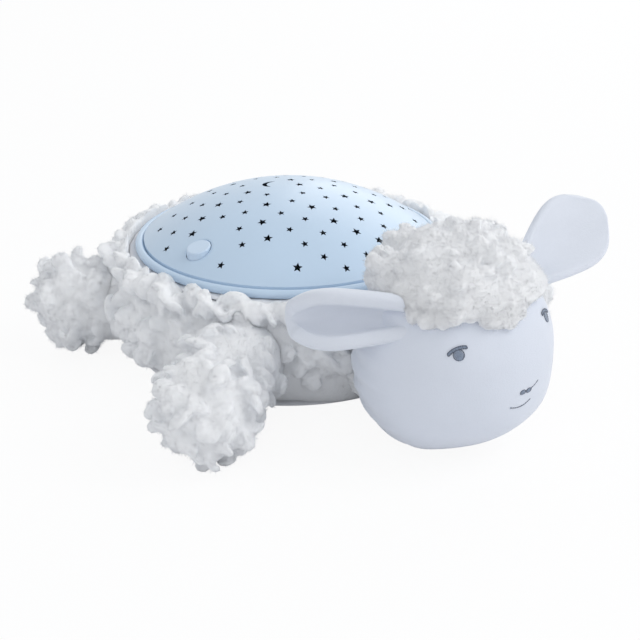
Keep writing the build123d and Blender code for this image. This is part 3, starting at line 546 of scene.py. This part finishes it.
def grow_wool(bm, places, luck, lie, sink, size):
    """Plants locks at the places. lie gives the way that a lock leans there and how far, 0 upright to 1 flat."""
    for spot, normal in places:
        way, lean = lie(spot, normal)
        side = way - normal * way.dot(normal)
        if side.length < 1e-4:
            side = normal.orthogonal()
        angle = lean * math.pi / 2
        up = (normal * math.cos(angle) + side.normalized() * math.sin(angle)).normalized()
        out = (normal - up * normal.dot(up)).normalized()
        across = out.cross(up)
        stretch = size * luck.uniform(*LOCK_STRETCH)
        basis = Matrix((across, -out, up)).transposed() @ Matrix.Rotation(luck.uniform(-LOCK_TURN, LOCK_TURN), 3, "Z")
        lock = luck.choices(LOCKS, LOCK_SHARES)[0].copy()
        lock.transform(Matrix.Translation(spot - normal * (sink * MM)) @ (basis * stretch).to_4x4())
        bm.from_mesh(lock)
        bpy.data.meshes.remove(lock)


def felted(bm, voxel, passes):
    """Grows overlapping shells into one fleece with a voxel remesh, and softens the creases between them."""
    mesh = bpy.data.meshes.new("felt")
    bm.to_mesh(mesh)
    bm.free()
    work = bpy.data.objects.new("felt", mesh)
    scene.collection.objects.link(work)
    remesh = work.modifiers.new("felt", "REMESH")
    remesh.voxel_size = voxel * MM
    soften = work.modifiers.new("soften", "SMOOTH")
    soften.iterations = passes
    soften.factor = 0.5
    fleece = bmesh.new()
    fleece.from_object(work, bpy.context.evaluated_depsgraph_get())
    bpy.data.objects.remove(work)
    bpy.data.meshes.remove(mesh)
    for v in fleece.verts:
        v.co.z = max(v.co.z, FLOOR_CLEAR * MM)
    fleece.normal_update()
    return fleece


def fuzz(bm, luck, count, shows):
    """Adds short loose fibres over the faces of a fleece where shows holds for a place and its normal."""
    faces = list(bm.faces)
    areas = [f.calc_area() for f in faces]
    roots = []
    for face in luck.choices(faces, areas, k=count):
        spot = face.calc_center_median()
        if shows(spot, face.normal):
            roots.append((spot, face.normal.copy()))
    mesh = bpy.data.meshes.new("fibres")
    for first in range(0, len(roots), FIBRE_BATCH):
        batch = bmesh.new()
        for spot, normal in roots[first:first + FIBRE_BATCH]:
            loose = Vector((luck.uniform(-1, 1), luck.uniform(-1, 1), luck.uniform(-1, 1)))
            tip = spot + (normal + loose * FIBRE_SPREAD).normalized() * (luck.uniform(*FIBRE_LENGTH) * MM)
            tip.z = max(tip.z, FLOOR_CLEAR * MM)
            base = spot - normal * (FIBRE_ROOT * MM)
            along = tip - base
            stands = Matrix.Translation((base + tip) / 2) @ along.to_track_quat("Z", "X").to_matrix().to_4x4()
            bmesh.ops.create_cone(
                batch, segments=3, radius1=FIBRE_RADIUS * MM, radius2=0, depth=along.length, matrix=stands
            )
        for face in batch.faces:
            face.material_index = 1  # the loose fibres' finish
        batch.to_mesh(mesh)
        batch.free()
        bm.from_mesh(mesh)
    bpy.data.meshes.remove(mesh)
    bm.normal_update()


def any_way(luck):
    """A level direction picked at random."""
    turn = luck.uniform(0, math.tau)
    return Vector((math.cos(turn), math.sin(turn), 0))


# Body: a stuffed ring round the housing, tufted above a smooth band

BODY_CORE_TOP = BODY_TOP - 0.5
BODY_SHOULDER = 77.2
BODY_WAIST = (BODY_RADIUS - 5.0, 27.0)  # radius and height, with room left for the locks
BODY_FOOT = (75.6, 2.0)
BODY_INSIDE = [(63.4, 2.0), (71.2, 43.6), (71.2, 47.9), (74.9, 47.9)]  # round the housing and its rim
BODY_SEED = 11
BODY_LUMPS = 26.0
BODY_LUMP_DEPTH = 2.2
BODY_SINK = 3.0
BODY_LEAN = (0.25, 0.62)
BAND_HEIGHT = 8.0  # of the smooth cloth below the wool
BAND_RISE = 6.0  # how much higher it reaches in front
BAND_WANDER = 4.0  # how far its edge wanders up and down
BAND_PATCH = 9.0
WOOL_INSIDE = 76.3  # least radius of a lock's root
FRINGE_FROM = BODY_TOP - 0.4  # height from which the wool is kept off the hem
FRINGE_INSIDE = 78.4  # wool's inner edge there
FRINGE_ROWS = [(80.4, 46.5, 104), (84.5, 44.5, 84)]  # reach, height and count of the locks round the top edge
FRINGE_SPREAD = 0.25
FRINGE_LEAN = (0, 0.16)
FRINGE_SINK = 1.0
FRINGE_SIZE = 0.88

body_line = arc_through((BODY_SHOULDER, BODY_CORE_TOP), BODY_WAIST, BODY_FOOT, 12) + BODY_INSIDE
ring = turned(body_line + [(BODY_INSIDE[-1][0], BODY_CORE_TOP)], 96, closed=True)
lumps(ring, BODY_LUMPS, BODY_LUMP_DEPTH)
luck = random.Random(BODY_SEED)


def on_side(spot, normal):
    """True for places on the body's wool: outside, above the smooth band."""
    reach = math.hypot(spot.x, spot.y)
    frontness = max(0.0, -spot.y / reach)
    band = BAND_HEIGHT + BAND_RISE * frontness + BAND_WANDER * noise.noise(spot / (BAND_PATCH * MM))
    return reach > WOOL_INSIDE * MM and spot.z > band * MM


def body_lie(spot, normal):
    return any_way(luck) + Vector((0, 0, luck.uniform(-0.8, 0.8))), luck.uniform(*BODY_LEAN)


def fringe_lie(spot, normal):
    return any_way(luck), luck.uniform(*FRINGE_LEAN)


def body_fibre(spot, normal):
    return on_side(spot, normal) and normal.dot(Vector((spot.x, spot.y, 0))) > 0


# A spin leaves its faces in no fixed order, so they are put in order of place
ring_faces = sorted(ring.faces, key=lambda f: tuple(f.calc_center_median()))
places = [p for p in scattered(ring_faces, BODY_FLEECE, luck) if on_side(*p)]
fringe = []
for row, (reach, height, count) in enumerate(FRINGE_ROWS):
    for n in range(count):
        turn = math.tau * (n + 0.5 * row + luck.uniform(-STRAY, STRAY)) / count
        outward = Vector((math.cos(turn), math.sin(turn), 0))
        spot = outward * (reach * MM) + Vector((0, 0, height * MM))
        fringe.append((spot, (outward * FRINGE_SPREAD + Vector((0, 0, 1))).normalized()))
grow_wool(ring, places, luck, body_lie, BODY_SINK, BODY_FLEECE.size)
grow_wool(ring, fringe, luck, fringe_lie, FRINGE_SINK, FRINGE_SIZE)
ring = felted(ring, BODY_FLEECE.grain, BODY_FLEECE.passes)
for v in ring.verts:
    reach = math.hypot(v.co.x, v.co.y)
    if v.co.z > FRINGE_FROM * MM and reach < FRINGE_INSIDE * MM:
        v.co.x *= FRINGE_INSIDE * MM / reach
        v.co.y *= FRINGE_INSIDE * MM / reach
fuzz(ring, luck, BODY_FLEECE.fibres, body_fibre)
body_wool = piece("body_wool", ring, [wool_finish, fibre_finish], ["body_plush"])

# Feet: woolly pom-poms on short legs

FEET_SEED = 31
LEG_ROOT = [(20, 82), (18, 77), (0, 77)]  # radius and reach of a leg's inner end, in the body's wool
FOOT_LOCKS_FROM = BODY_RADIUS - 6.0  # reach at which the locks begin
FOOT_FIBRES_FROM = BODY_RADIUS - 2.0
FOOT_LEAN = (0.15, 0.55)
LEG_LEAN = (0.4, 0.75)


def foot_fibre(spot, normal):
    return math.hypot(spot.x, spot.y) > FOOT_FIBRES_FROM * MM


for number, (name, (side, bearing, reach, radius, sink)) in enumerate(FEET.items()):
    luck = random.Random(FEET_SEED + number)
    bearing = math.radians(bearing)
    way = Vector((side * math.sin(bearing), -math.cos(bearing), 0))
    core = radius - TUFT_RISE
    middle = Vector((way.x * reach, way.y * reach, radius))
    ball = arc_through((0, reach + core), (core * 0.6, reach + core * 0.8), (core, reach), 7)
    foot = turned(ball + LEG_ROOT, 32)
    turn = Matrix((Vector((0, 0, 1)), way.cross(Vector((0, 0, 1))), way)).transposed()
    bmesh.ops.transform(foot, matrix=Matrix.Translation((0, 0, radius * MM)) @ turn.to_4x4(), verts=foot.verts)
    tidy(foot)
    ways = [turn @ w for w in tuft_ways(radius) if w.z > -TUFT_BACK]
    add_tufts(foot, [middle + w * (radius - TUFT_RADIUS - TUFT_SINK) for w in ways])
    foot = felted(foot, CORE_GRAIN, CORE_PASSES)
    places = []
    for spot, normal in scattered(list(foot.faces), FOOT_FLEECE, luck):
        away = (spot - middle * MM).normalized()
        if math.hypot(spot.x, spot.y) > FOOT_LOCKS_FROM * MM:
            places.append((spot, (normal * 0.5 + away * 0.5).normalized()))

    def foot_lie(spot, normal):
        on_ball = spot.dot(way) > (reach - radius / 2) * MM
        lean = luck.uniform(*(FOOT_LEAN if on_ball else LEG_LEAN))
        return any_way(luck) + way * 0.3 + Vector((0, 0, luck.uniform(-1.0, 0.8))), lean

    grow_wool(foot, places, luck, foot_lie, sink, FOOT_FLEECE.size)
    foot = felted(foot, FOOT_FLEECE.grain, FOOT_FLEECE.passes)
    fuzz(foot, luck, FOOT_FLEECE.fibres, foot_fibre)
    made = piece(name + "_wool", foot, [wool_finish, fibre_finish], [name])

# Head: stuffed smooth pile, flat where it rests, gathered at the neck

HEAD_FOOT = 0.3  # underside before it is puffed
HEAD_CLEAR = 0.05  # underside when it is finished
HEAD_VOXEL = 4.0
JOWL_WAY = (0.78, -0.6258)  # from the jowl's centre to the middle of its curve
CHIN_FACETS = ((0.2655, -0.5805, -0.77, 9.2), (-0.149, -0.376, -0.9145, 4.5))  # way out and depth, on the left side
CHIN_SOFT = 1.6  # rounding where the chin is drawn in under the muzzle
NECK = Vector((0, HEAD_Y + 40, 40))
GATHERS = 26
GATHER_DEPTH = 1.1
GATHER_FROM = HEAD_Y + 22  # where they start to fade towards the face
GATHER_FADE = 34.0
GATHER_MIDDLE = 12.0  # radius round the neck inside which they run out
DENT_SIZE = 30.0  # soft dents all over the stuffing
DENT_DEPTH = 0.5

jowl_x = HEAD_RADIUS - JOWL_CURVE
jowl_z = math.sqrt(JOWL_CURVE**2 - (HEAD_SEAT - jowl_x) ** 2)
jowl_middle = (jowl_x + JOWL_CURVE * JOWL_WAY[0], jowl_z + JOWL_CURVE * JOWL_WAY[1])
jowl = arc_through((HEAD_SEAT, HEAD_FOOT), jowl_middle, (HEAD_RADIUS, jowl_z), 10)
crown_middle = HEAD_RADIUS * math.sqrt(0.5)
crown = arc_through(
    (HEAD_RADIUS, HEAD_WIDEST), (crown_middle, HEAD_WIDEST + crown_middle), (0, HEAD_WIDEST + HEAD_RADIUS), 14
)
head_bm = turned([(0, HEAD_FOOT)] + jowl + crown, 48)
bmesh.ops.translate(head_bm, vec=(0, HEAD_Y * MM, 0), verts=head_bm.verts)
head = piece("head_pile", head_bm, [pile_finish], ["head"])
remesh = head.modifiers.new("remesh", "REMESH")
remesh.voxel_size = HEAD_VOXEL * MM
bpy.context.view_layer.objects.active = head
with bpy.context.temp_override(object=head, active_object=head):
    bpy.ops.object.modifier_apply(modifier=remesh.name)
puffed(head)
head_bm = bmesh.new()
head_bm.from_mesh(head.data)
bmesh.ops.smooth_vert(head_bm, verts=head_bm.verts, factor=0.5, use_axis_x=True, use_axis_y=True, use_axis_z=True)
bmesh.ops.subdivide_edges(head_bm, edges=head_bm.edges, cuts=1, use_grid_fill=True, smooth=1.0)
head_bm.normal_update()
chin_facets = [(Vector((side * x, y, z)), depth) for x, y, z, depth in CHIN_FACETS for side in (1, -1)]
for v in head_bm.verts:
    for out, depth in chin_facets:
        past = (v.co - Vector((0, HEAD_Y * MM, 0))).dot(out) / MM - depth
        v.co -= out * (CHIN_SOFT * math.log1p(math.exp(past / CHIN_SOFT)) * MM)
    toward = v.co - NECK * MM
    fade = max(0.0, 1 - max(0.0, GATHER_FROM * MM - v.co.y) / (GATHER_FADE * MM))
    run_out = min(1.0, math.hypot(toward.x, toward.z) / (GATHER_MIDDLE * MM))
    gather = math.sin(math.atan2(toward.z, toward.x) * GATHERS + 1.5 * noise.noise(v.co / (14 * MM)))
    dent = noise.noise(v.co / (DENT_SIZE * MM) + Vector((2, 5, 1)))
    v.co += v.normal * (gather * fade * GATHER_DEPTH * run_out + dent * DENT_DEPTH) * MM
    v.co.z = max(v.co.z, HEAD_CLEAR * MM)
head_bm.to_mesh(head.data)
head_bm.normal_update()
head_skin = BVHTree.FromBMesh(head_bm)
head_bm.free()
head.data.shade_smooth()

# Wool cap over the top of the head, with locks that hang over the brow

CAP_SEED = 7
CAP_INSIDE = HEAD_RADIUS - 1.5
CAP_RIM = CAP_EDGE + 1.0  # cap's lower edge at the head's axis
CAP_CLEAR = 5.5  # of the lowest roots above the edge
CAP_BAND = 8.0  # height of the locks that lie along the edge
CAP_SINK = 2.5
EAR_CLEAR = 5.0  # of the tufts from the ears' roots
BROW_SIDES = (-29.0, 7.0)
BROW_AHEAD = 12.0  # how far in front of the head's axis it begins
BROW_CLEAR = 3.0
TEMPLE_SIDE = 12.0  # where the temple begins, towards the lamb's left
TEMPLE_BACK = 14.0  # how far it goes behind the head's axis
TEMPLE_HEIGHT = 12.0
BROW_LOCKS = 24
BROW_TURNS = (-72.0, 14.0)  # degrees from straight ahead, towards the lamb's right and left
BROW_LOBES = (-56.0, -5.0)  # where they hang lowest
BROW_RISE = 7.0  # of their roots above the cap's edge
BROW_HANG = 4.0  # how much lower the lobes' roots are
BROW_UNEVEN = 0.7
BROW_OUT = 3.0  # of their roots from the head
BROW_LEAN = (0.92, 1.08)
BROW_SINK = 0.5
BROW_SIZE = 0.68

luck = random.Random(CAP_SEED)
head_middle = Vector((0, HEAD_Y, HEAD_WIDEST)) * MM


def cap_edge(spot):
    """Height of the wool's lower edge over a place on the head."""
    return CAP_RIM * MM - spot.x * CAP_SLOPE - (spot.y - HEAD_Y * MM) * CAP_SLOPE


def dome_line(radius, steps):
    """Quarter circle over the head, from its widest line up to its axis."""
    turns = [math.pi / 2 * n / steps for n in range(steps + 1)]
    return [(radius * math.cos(a), HEAD_WIDEST + radius * math.sin(a)) for a in turns]


cap = turned(dome_line(CAP_INSIDE, 16)[::-1] + dome_line(HEAD_RADIUS + CAP_THICKNESS, 16), 56)
bmesh.ops.translate(cap, vec=(0, HEAD_Y * MM, 0), verts=cap.verts)
edge_normal = Vector((CAP_SLOPE, CAP_SLOPE, 1)).normalized()
edge_spot = Vector((0, HEAD_Y * MM, CAP_RIM * MM))
cut = bmesh.ops.bisect_plane(
    cap, geom=cap.verts[:] + cap.edges[:] + cap.faces[:], plane_co=edge_spot, plane_no=edge_normal, clear_inner=True
)
rims = [e for e in cut["geom_cut"] if isinstance(e, bmesh.types.BMEdge)]
bmesh.ops.bridge_loops(cap, edges=rims)
tidy(cap)
cap_outside = HEAD_RADIUS + CAP_THICKNESS + TUFT_RISE
tufts = []
for w in tuft_ways(cap_outside):
    place = head_middle / MM + w * (cap_outside - TUFT_RADIUS - TUFT_SINK / 2)
    above_edge = (place * MM - edge_spot).dot(edge_normal) > TUFT_RISE * MM
    if above_edge and all((place - root).length > TUFT_RADIUS + EAR_CLEAR for root in EAR_ROOTS.values()):
        tufts.append(place)
add_tufts(cap, tufts)
cap = felted(cap, CORE_GRAIN, CORE_PASSES)


def on_brow(spot):
    """True over the forehead, where the wool comes down to the cap's edge."""
    return BROW_SIDES[0] * MM < spot.x < BROW_SIDES[1] * MM and spot.y < (HEAD_Y - BROW_AHEAD) * MM


def on_temple(spot):
    """True low on the lamb's left temple, where the wool is brushed back."""
    low = spot.z < cap_edge(spot) + TEMPLE_HEIGHT * MM
    return spot.x > TEMPLE_SIDE * MM and spot.y < (HEAD_Y + TEMPLE_BACK) * MM and low


def on_top(spot, normal):
    """True for places on the outside of the cap, clear of its edge."""
    clear = BROW_CLEAR if on_brow(spot) else CAP_CLEAR
    return (spot - head_middle).dot(normal) > 0 and spot.z > cap_edge(spot) + clear * MM


def cap_lie(spot, normal):
    outward = Vector((spot.x, spot.y - HEAD_Y * MM, 0)).normalized()
    if on_temple(spot):
        return Vector((-0.3, 0.3, 1)), luck.uniform(0.85, 1.0)
    if spot.z < cap_edge(spot) + CAP_BAND * MM:
        rise = -0.2 if on_brow(spot) else 0.6
        return Vector((0, 0, rise)) + outward * 0.3 + any_way(luck) * 0.7, luck.uniform(0.4, 0.8)
    return any_way(luck) + outward * 0.3 + Vector((0, 0, luck.uniform(-0.6, 0.4))), luck.uniform(0.3, 0.85)


def brow_lie(spot, normal):
    return Vector((luck.uniform(-0.35, 0.35), 0, -1)), luck.uniform(*BROW_LEAN)


def cap_fibre(spot, normal):
    return (spot - head_middle).dot(normal) > 0


places = [p for p in scattered(list(cap.faces), CAP_FLEECE, luck) if on_top(*p)]
brow = []
for n in range(BROW_LOCKS):
    share = (n + luck.uniform(-STRAY, STRAY)) / (BROW_LOCKS - 1)
    turn = BROW_TURNS[0] + (BROW_TURNS[1] - BROW_TURNS[0]) * share
    hang = 0.5 + 0.5 * math.cos(math.tau * (turn - BROW_LOBES[0]) / (BROW_LOBES[1] - BROW_LOBES[0]))
    rise = CAP_EDGE + BROW_RISE - BROW_HANG * hang + luck.uniform(-BROW_UNEVEN, BROW_UNEVEN) - HEAD_WIDEST
    reach = math.sqrt((HEAD_RADIUS + BROW_OUT) ** 2 - rise**2)
    turn = math.radians(turn)
    away = Vector((math.sin(turn) * reach, -math.cos(turn) * reach, rise)) * MM
    brow.append((head_middle + away, away.normalized()))
grow_wool(cap, places, luck, cap_lie, CAP_SINK, CAP_FLEECE.size)
grow_wool(cap, brow, luck, brow_lie, BROW_SINK, BROW_SIZE)
cap = felted(cap, CAP_FLEECE.grain, CAP_FLEECE.passes)
fuzz(cap, luck, CAP_FLEECE.fibres, cap_fibre)
cap_wool = piece("cap_wool", cap, [wool_finish, fibre_finish], ["wool_cap"])

# Ears: lined leaves of pile, the right one rolled into a cup and the left one spread

EARS = {
    # the way it points, the way its cup faces, fold at root and tip in degrees, width, its share at the root, wall
    "ear_right": (Vector((-0.74, 0.67, -0.08)), Vector((-0.55, -0.8, 0.22)), 126, 112, 53, 0.74, 6.2),
    "ear_left": (Vector((0.88, 0.02, 0.47)), Vector((-0.5, -0.76, 0.45)), 75, 18, 38, 0.4, 3.8),
}
EAR_LENGTH = 49.0
EAR_SINK = 6.0  # of an ear's root in the head
EAR_ROUND = 4.0  # how far the corners of its tip are drawn back
EAR_WIDEST = 0.68  # share of its length at which it is widest
EAR_TIP = 0.55  # share of its length at which its tip starts to narrow
EAR_RIPPLE = 1.7


def ear_half_width(share, width, root_share):
    """Half width of an ear along its length: a paddle that narrows to its root and rounds off at its tip."""
    swell = root_share + (1 - root_share) * math.sin(min(1.0, share / EAR_WIDEST) * math.pi / 2)
    return width / 2 * swell * (1 - 0.5 * max(0.0, (share - EAR_TIP) / (1 - EAR_TIP)) ** 2.5)


for number, (name, (way, face, fold_root, fold_tip, width, root_share, wall)) in enumerate(EARS.items()):
    along = way.normalized()
    across = face.cross(along).normalized()
    front = along.cross(across).normalized()
    root = EAR_ROOTS[name]
    ear = bmesh.new()
    bmesh.ops.create_grid(ear, x_segments=12, y_segments=16, size=0.5)
    for v in ear.verts:
        share = v.co.y + 0.5
        wide = v.co.x * 2
        fold = math.radians(fold_root + (fold_tip - fold_root) * min(1.0, share * 1.25))
        curve = wide * fold
        radius = ear_half_width(share, width, root_share) / fold
        ripple = noise.noise(Vector((wide * 2.2, share * 2.4, 2 * number - 1))) * EAR_RIPPLE * (1 - share**4)
        forward = (1 - math.cos(curve)) * radius - 0.5 * (1 - math.cos(fold)) * radius
        reach = share * (EAR_LENGTH + EAR_SINK) - EAR_SINK - EAR_ROUND * wide**2 * share**3
        v.co = (root + along * reach + across * (math.sin(curve) * radius) + front * (forward + ripple)) * MM
    ear.normal_update()
    bmesh.ops.solidify(ear, geom=ear.faces[:], thickness=wall * MM)
    tidy(ear)
    made = piece(name + "_pile", ear, [ear_finish], [name])
    smooth = made.modifiers.new("round", "SUBSURF")
    smooth.levels = smooth.render_levels = 2

# Stitched face, laid on the head's skin

FACE_TURN = math.radians(3)  # towards the lamb's left
FACE_TILT = math.radians(6)  # left side up
GREY, DARK = 0, 1  # the threads of a patch
EYES = {"eye_right": (-1, -24.4, 16.3), "eye_left": (1, 23.5, 16.0)}  # side, and place across and up the face
IRIS = 2.25
IRIS_DROP = 2.1  # of its middle below the eye's place
IRIS_ROWS = 9
LID_ROWS = (-1.0, -0.6, -0.2, 0.2)
LID_WIDTH = 8.2
LID_SLOPE = 0.04
NOSE_PLACE = (1.3, -8.2)
NOSTRILS = ((-1.7, 0.3, 1.5), (1.7, -0.2, 1.6))  # place across and up, half width
NOSTRIL_HALF_HEIGHT = 0.95
NOSE_TAIL = [(3.2, 0.1), (4.8, 0.3), (6.4, 0.8), (8.0, 1.6)]
MOUTH_PLACE = (-0.6, -13.7)
MOUTH_WIDTH = 11.0
MOUTH_DIP = 1.1
MOUTH_CORNER = [(-5.8, 1.3), (-6.3, 1.0), (-5.9, 0.6)]

ahead = Vector((math.sin(FACE_TURN), -math.cos(FACE_TURN), 0))
level = Vector((math.cos(FACE_TURN), math.sin(FACE_TURN), 0))
face_left = level * math.cos(FACE_TILT) + Vector((0, 0, 1)) * math.sin(FACE_TILT)
face_up = Vector((0, 0, 1)) * math.cos(FACE_TILT) - level * math.sin(FACE_TILT)


class Patch:
    """A place on the face, with its own left and up, that stitches are laid on."""

    def __init__(self, side, rise):
        depth = math.sqrt(HEAD_RADIUS**2 - side**2 - rise**2)
        self.out = (face_left * side + face_up * rise + ahead * depth).normalized()
        self.left = (face_left - self.out * face_left.dot(self.out)).normalized()
        self.up = self.out.cross(self.left)
        self.bm = bmesh.new()

    def on_skin(self, x, y):
        """Point and normal of the skin at a place on the patch, in millimetres."""
        start = head_middle + (self.left * x + self.up * y) * MM
        return head_skin.ray_cast(start, self.out)[:2]

    def stitch(self, first, last, width, thread, lift=0.1):
        """One thread from one place to another: a flat bead along the skin."""
        (a, normal_a), (b, normal_b) = self.on_skin(*first), self.on_skin(*last)
        normal = (normal_a + normal_b).normalized()
        along = b - a
        side = normal.cross(along).normalized()
        made = bmesh.ops.create_uvsphere(self.bm, u_segments=6, v_segments=4, radius=0.5)["verts"]
        size = Matrix.Diagonal((width * MM, width * 0.8 * MM, along.length + width * 0.4 * MM, 1))
        basis = Matrix((side, normal, along.normalized())).transposed().to_4x4()
        place = Matrix.Translation((a + b) / 2 + normal * (lift * MM))
        bmesh.ops.transform(self.bm, matrix=place @ basis @ size, verts=made)
        for face in {f for v in made for f in v.link_faces}:
            face.material_index = thread

    def line(self, points, width, thread, lift=0.1):
        """A row of stitches along points."""
        for first, last in zip(points, points[1:]):
            self.stitch(first, last, width, thread, lift)

    def finish(self, name, node):
        bmesh.ops.recalc_face_normals(self.bm, faces=self.bm.faces)
        piece(name, self.bm, [stitch_grey, stitch_dark], [node])


def bow(width, rise, steps, y=0.0):
    """Points along a shallow arch of a width and rise."""
    return [(width * (n / steps - 0.5), y + rise * (1 - (2 * n / steps - 1) ** 2)) for n in range(steps + 1)]


def oval(x, y, half_width, half_height, steps):
    """Points round an oval, back to the first."""
    turns = [math.tau * n / steps for n in range(steps + 1)]
    return [(x + half_width * math.cos(a), y + half_height * math.sin(a)) for a in turns]


for name, (side, across, rise) in EYES.items():
    patch = Patch(across, rise)
    for row in range(IRIS_ROWS):
        y = -IRIS_DROP + IRIS * (1 - 2 * (row + 0.5) / IRIS_ROWS)
        half = math.sqrt(max(0.1, IRIS**2 - (y + IRIS_DROP) ** 2))
        patch.stitch((-half, y), (half, y - 0.25), 0.6, GREY)
    patch.line(oval(0, -IRIS_DROP, IRIS, IRIS, 14), 0.42, DARK, 0.15)
    for row, y in enumerate(LID_ROWS):
        outer = y in (LID_ROWS[0], LID_ROWS[-1])
        lid = [(x, h - side * LID_SLOPE * x) for x, h in bow(LID_WIDTH - 0.4 * (row == 0), 1.0, 9, y)]
        patch.line(lid, 0.5, DARK if outer else GREY, 0.3 if outer else 0.22)
    for x in (-LID_WIDTH / 2, LID_WIDTH / 2):
        slant = side * LID_SLOPE * x
        patch.stitch((x, LID_ROWS[0] - slant), (x, LID_ROWS[-1] - slant), 0.5, DARK, 0.3)
    patch.finish(name + "_stitches", name)

patch = Patch(*NOSE_PLACE)
for x, y, half in NOSTRILS:
    for row in range(4):
        down = 0.75 - 0.5 * row
        reach = half * math.sqrt(max(0.05, 1 - (down / 1.1) ** 2))
        patch.stitch((x - reach, y + down), (x + reach, y + down - 0.2), 0.5, GREY)
    patch.line(oval(x, y, half, NOSTRIL_HALF_HEIGHT, 12), 0.36, DARK, 0.15)
patch.line(NOSE_TAIL, 0.4, DARK)
patch.finish("nose_stitches", "nose")

patch = Patch(*MOUTH_PLACE)
patch.line([(x - 0.6, 1.0 - y) for x, y in bow(MOUTH_WIDTH, MOUTH_DIP, 10)], 0.45, DARK)
patch.line(MOUTH_CORNER, 0.4, GREY)
patch.finish("mouth_stitches", "mouth")

# Cloth hem under the dome's rim, and the belly cloth with its sewn edge

HEM_LINE = [(68.7, 50.8), (75.2, 50.75), (77.3, 50.8), (78.0, 51.3), (77.6, 51.9), (76.2, 52.1), (68.7, 52.1)]
HEM_FREE = 75.6  # radius outside which the hem shows and puckers
HEM_PUCKERS = 40
HEM_PUCKER_DEPTH = 0.25
BELLY_LINE = [(59.5, 0.15), (60.5, 0), (74.2, 0), (75.6, 0.3), (76, 0.9), (75.6, 1.6), (60.5, 1.6), (59.5, 1.4)]

hem = turned(HEM_LINE, 120, closed=True)
for v in hem.verts:
    if math.hypot(v.co.x, v.co.y) > HEM_FREE * MM:
        v.co.z += HEM_PUCKER_DEPTH * MM * math.sin(math.atan2(v.co.y, v.co.x) * HEM_PUCKERS)
hem_cloth = piece("hem_cloth", hem, [cloth_finish], ["rim_hem"])

belly_cloth = piece("belly_cloth", turned(BELLY_LINE, 120, closed=True), [cloth_finish], ["belly_panel"])

# Rubber dome under the button

pad_outside = [(0, PAD_TOP), (PAD_TOP_RADIUS, PAD_TOP), (PAD_BASE_RADIUS, PAD_BASE)]
pad_inside = [
    (PAD_BASE_RADIUS - PAD_WALL, PAD_BASE), (PAD_TOP_RADIUS - PAD_WALL, PAD_TOP - PAD_WALL), (0, PAD_TOP - PAD_WALL)
]
pad = turned(pad_outside + pad_inside, 48)
bmesh.ops.translate(pad, vec=(dish_spot.x, dish_spot.y, 0), verts=pad.verts)
pad_dome = piece("pad_dome", pad, [pad_rubber], ["button_pad"])
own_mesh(pad_dome)

# Stage: pale floor, soft studio light and the camera

FLOOR_HALF = 4.0  # metres
FLOOR_GLOW = 0.92  # share of plain white in the floor, the rest takes the shadow
SKY_COLOUR = (0.93, 0.96, 1.0, 1)
SKY_STRENGTH = 0.62
LAMPS = [
    # name, place and target in metres, size, power in watts
    ("key", (0.8, -0.85, 1.15), (0, -0.02, 0.04), 0.9, 8.8),
    ("fill", (-1.1, -0.9, 0.9), (0, -0.02, 0.04), 1.2, 2.8),
    ("back", (1.15, 0.75, 0.75), (0, 0, 0.05), 1.2, 5.0),
]
CAMERA_EYE = Vector((-353.45, -551.24, 293.81))
CAMERA_TARGET = Vector((3.93, -21.39, 17.11))
CAMERA_LENS = 79.64
CAMERA_SENSOR = 36


def seen_white(shading):
    """1 for rays that show the background: from the camera, or by way of gloss or glass."""
    rays = ("Is Camera Ray", "Is Glossy Ray", "Is Transmission Ray")
    camera, glossy, through = [shading.node("ShaderNodeLightPath", None, None, ray) for ray in rays]
    return camera + glossy + through


def facing(place, target):
    """Turn of a lamp or camera at a place that looks at a target."""
    return (Vector(target) - Vector(place)).to_track_quat("-Z", "Y").to_euler()


floor_bm = bmesh.new()
bmesh.ops.create_grid(floor_bm, x_segments=1, y_segments=1, size=FLOOR_HALF)
floor_mesh = bpy.data.meshes.new("floor")
floor_bm.to_mesh(floor_mesh)
floor_bm.free()
floor = bpy.data.objects.new("floor", floor_mesh)
scene.collection.objects.link(floor)
paper = Finish("paper", roughness=0.9, base_color=(0.93, 0.93, 0.94, 1), specular_ior_level=0.1)
glow = paper.node("ShaderNodeEmission", None, {"Color": (1, 1, 1, 1), "Strength": 1.0})
shadowed = Value(paper, paper.shader.outputs[0])
floor_light = paper.node("ShaderNodeMixShader", None, {0: seen_white(paper) * FLOOR_GLOW, 1: shadowed, 2: glow})
paper.feed(paper.nodes["Material Output"].inputs["Surface"], floor_light)
floor_mesh.materials.append(paper.material)

scene.world = bpy.data.worlds.new("studio")
scene.world.use_nodes = True
studio = Shading(scene.world.node_tree)
sky = studio.nodes["Background"]
studio.feed(sky.inputs["Color"], SKY_COLOUR)
studio.feed(sky.inputs["Strength"], SKY_STRENGTH)
blank = studio.node("ShaderNodeBackground", None, {"Color": (1, 1, 1, 1), "Strength": 1.0})
room = studio.node("ShaderNodeMixShader", None, {0: seen_white(studio), 1: Value(studio, sky.outputs[0]), 2: blank})
studio.feed(studio.nodes["World Output"].inputs["Surface"], room)

for name, place, target, size, power in LAMPS:
    softbox = bpy.data.lights.new(name, "AREA")
    softbox.size = size
    softbox.energy = power
    lamp = bpy.data.objects.new(name, softbox)
    lamp.location = place
    lamp.rotation_euler = facing(place, target)
    scene.collection.objects.link(lamp)

camera_data = bpy.data.cameras.new("camera")
camera_data.sensor_width = CAMERA_SENSOR
camera_data.lens = CAMERA_LENS
camera = bpy.data.objects.new("camera", camera_data)
camera.location = CAMERA_EYE * MM
camera.rotation_euler = facing(CAMERA_EYE * MM, CAMERA_TARGET * MM)
scene.collection.objects.link(camera)
scene.camera = camera
scene.view_settings.view_transform = "Standard"
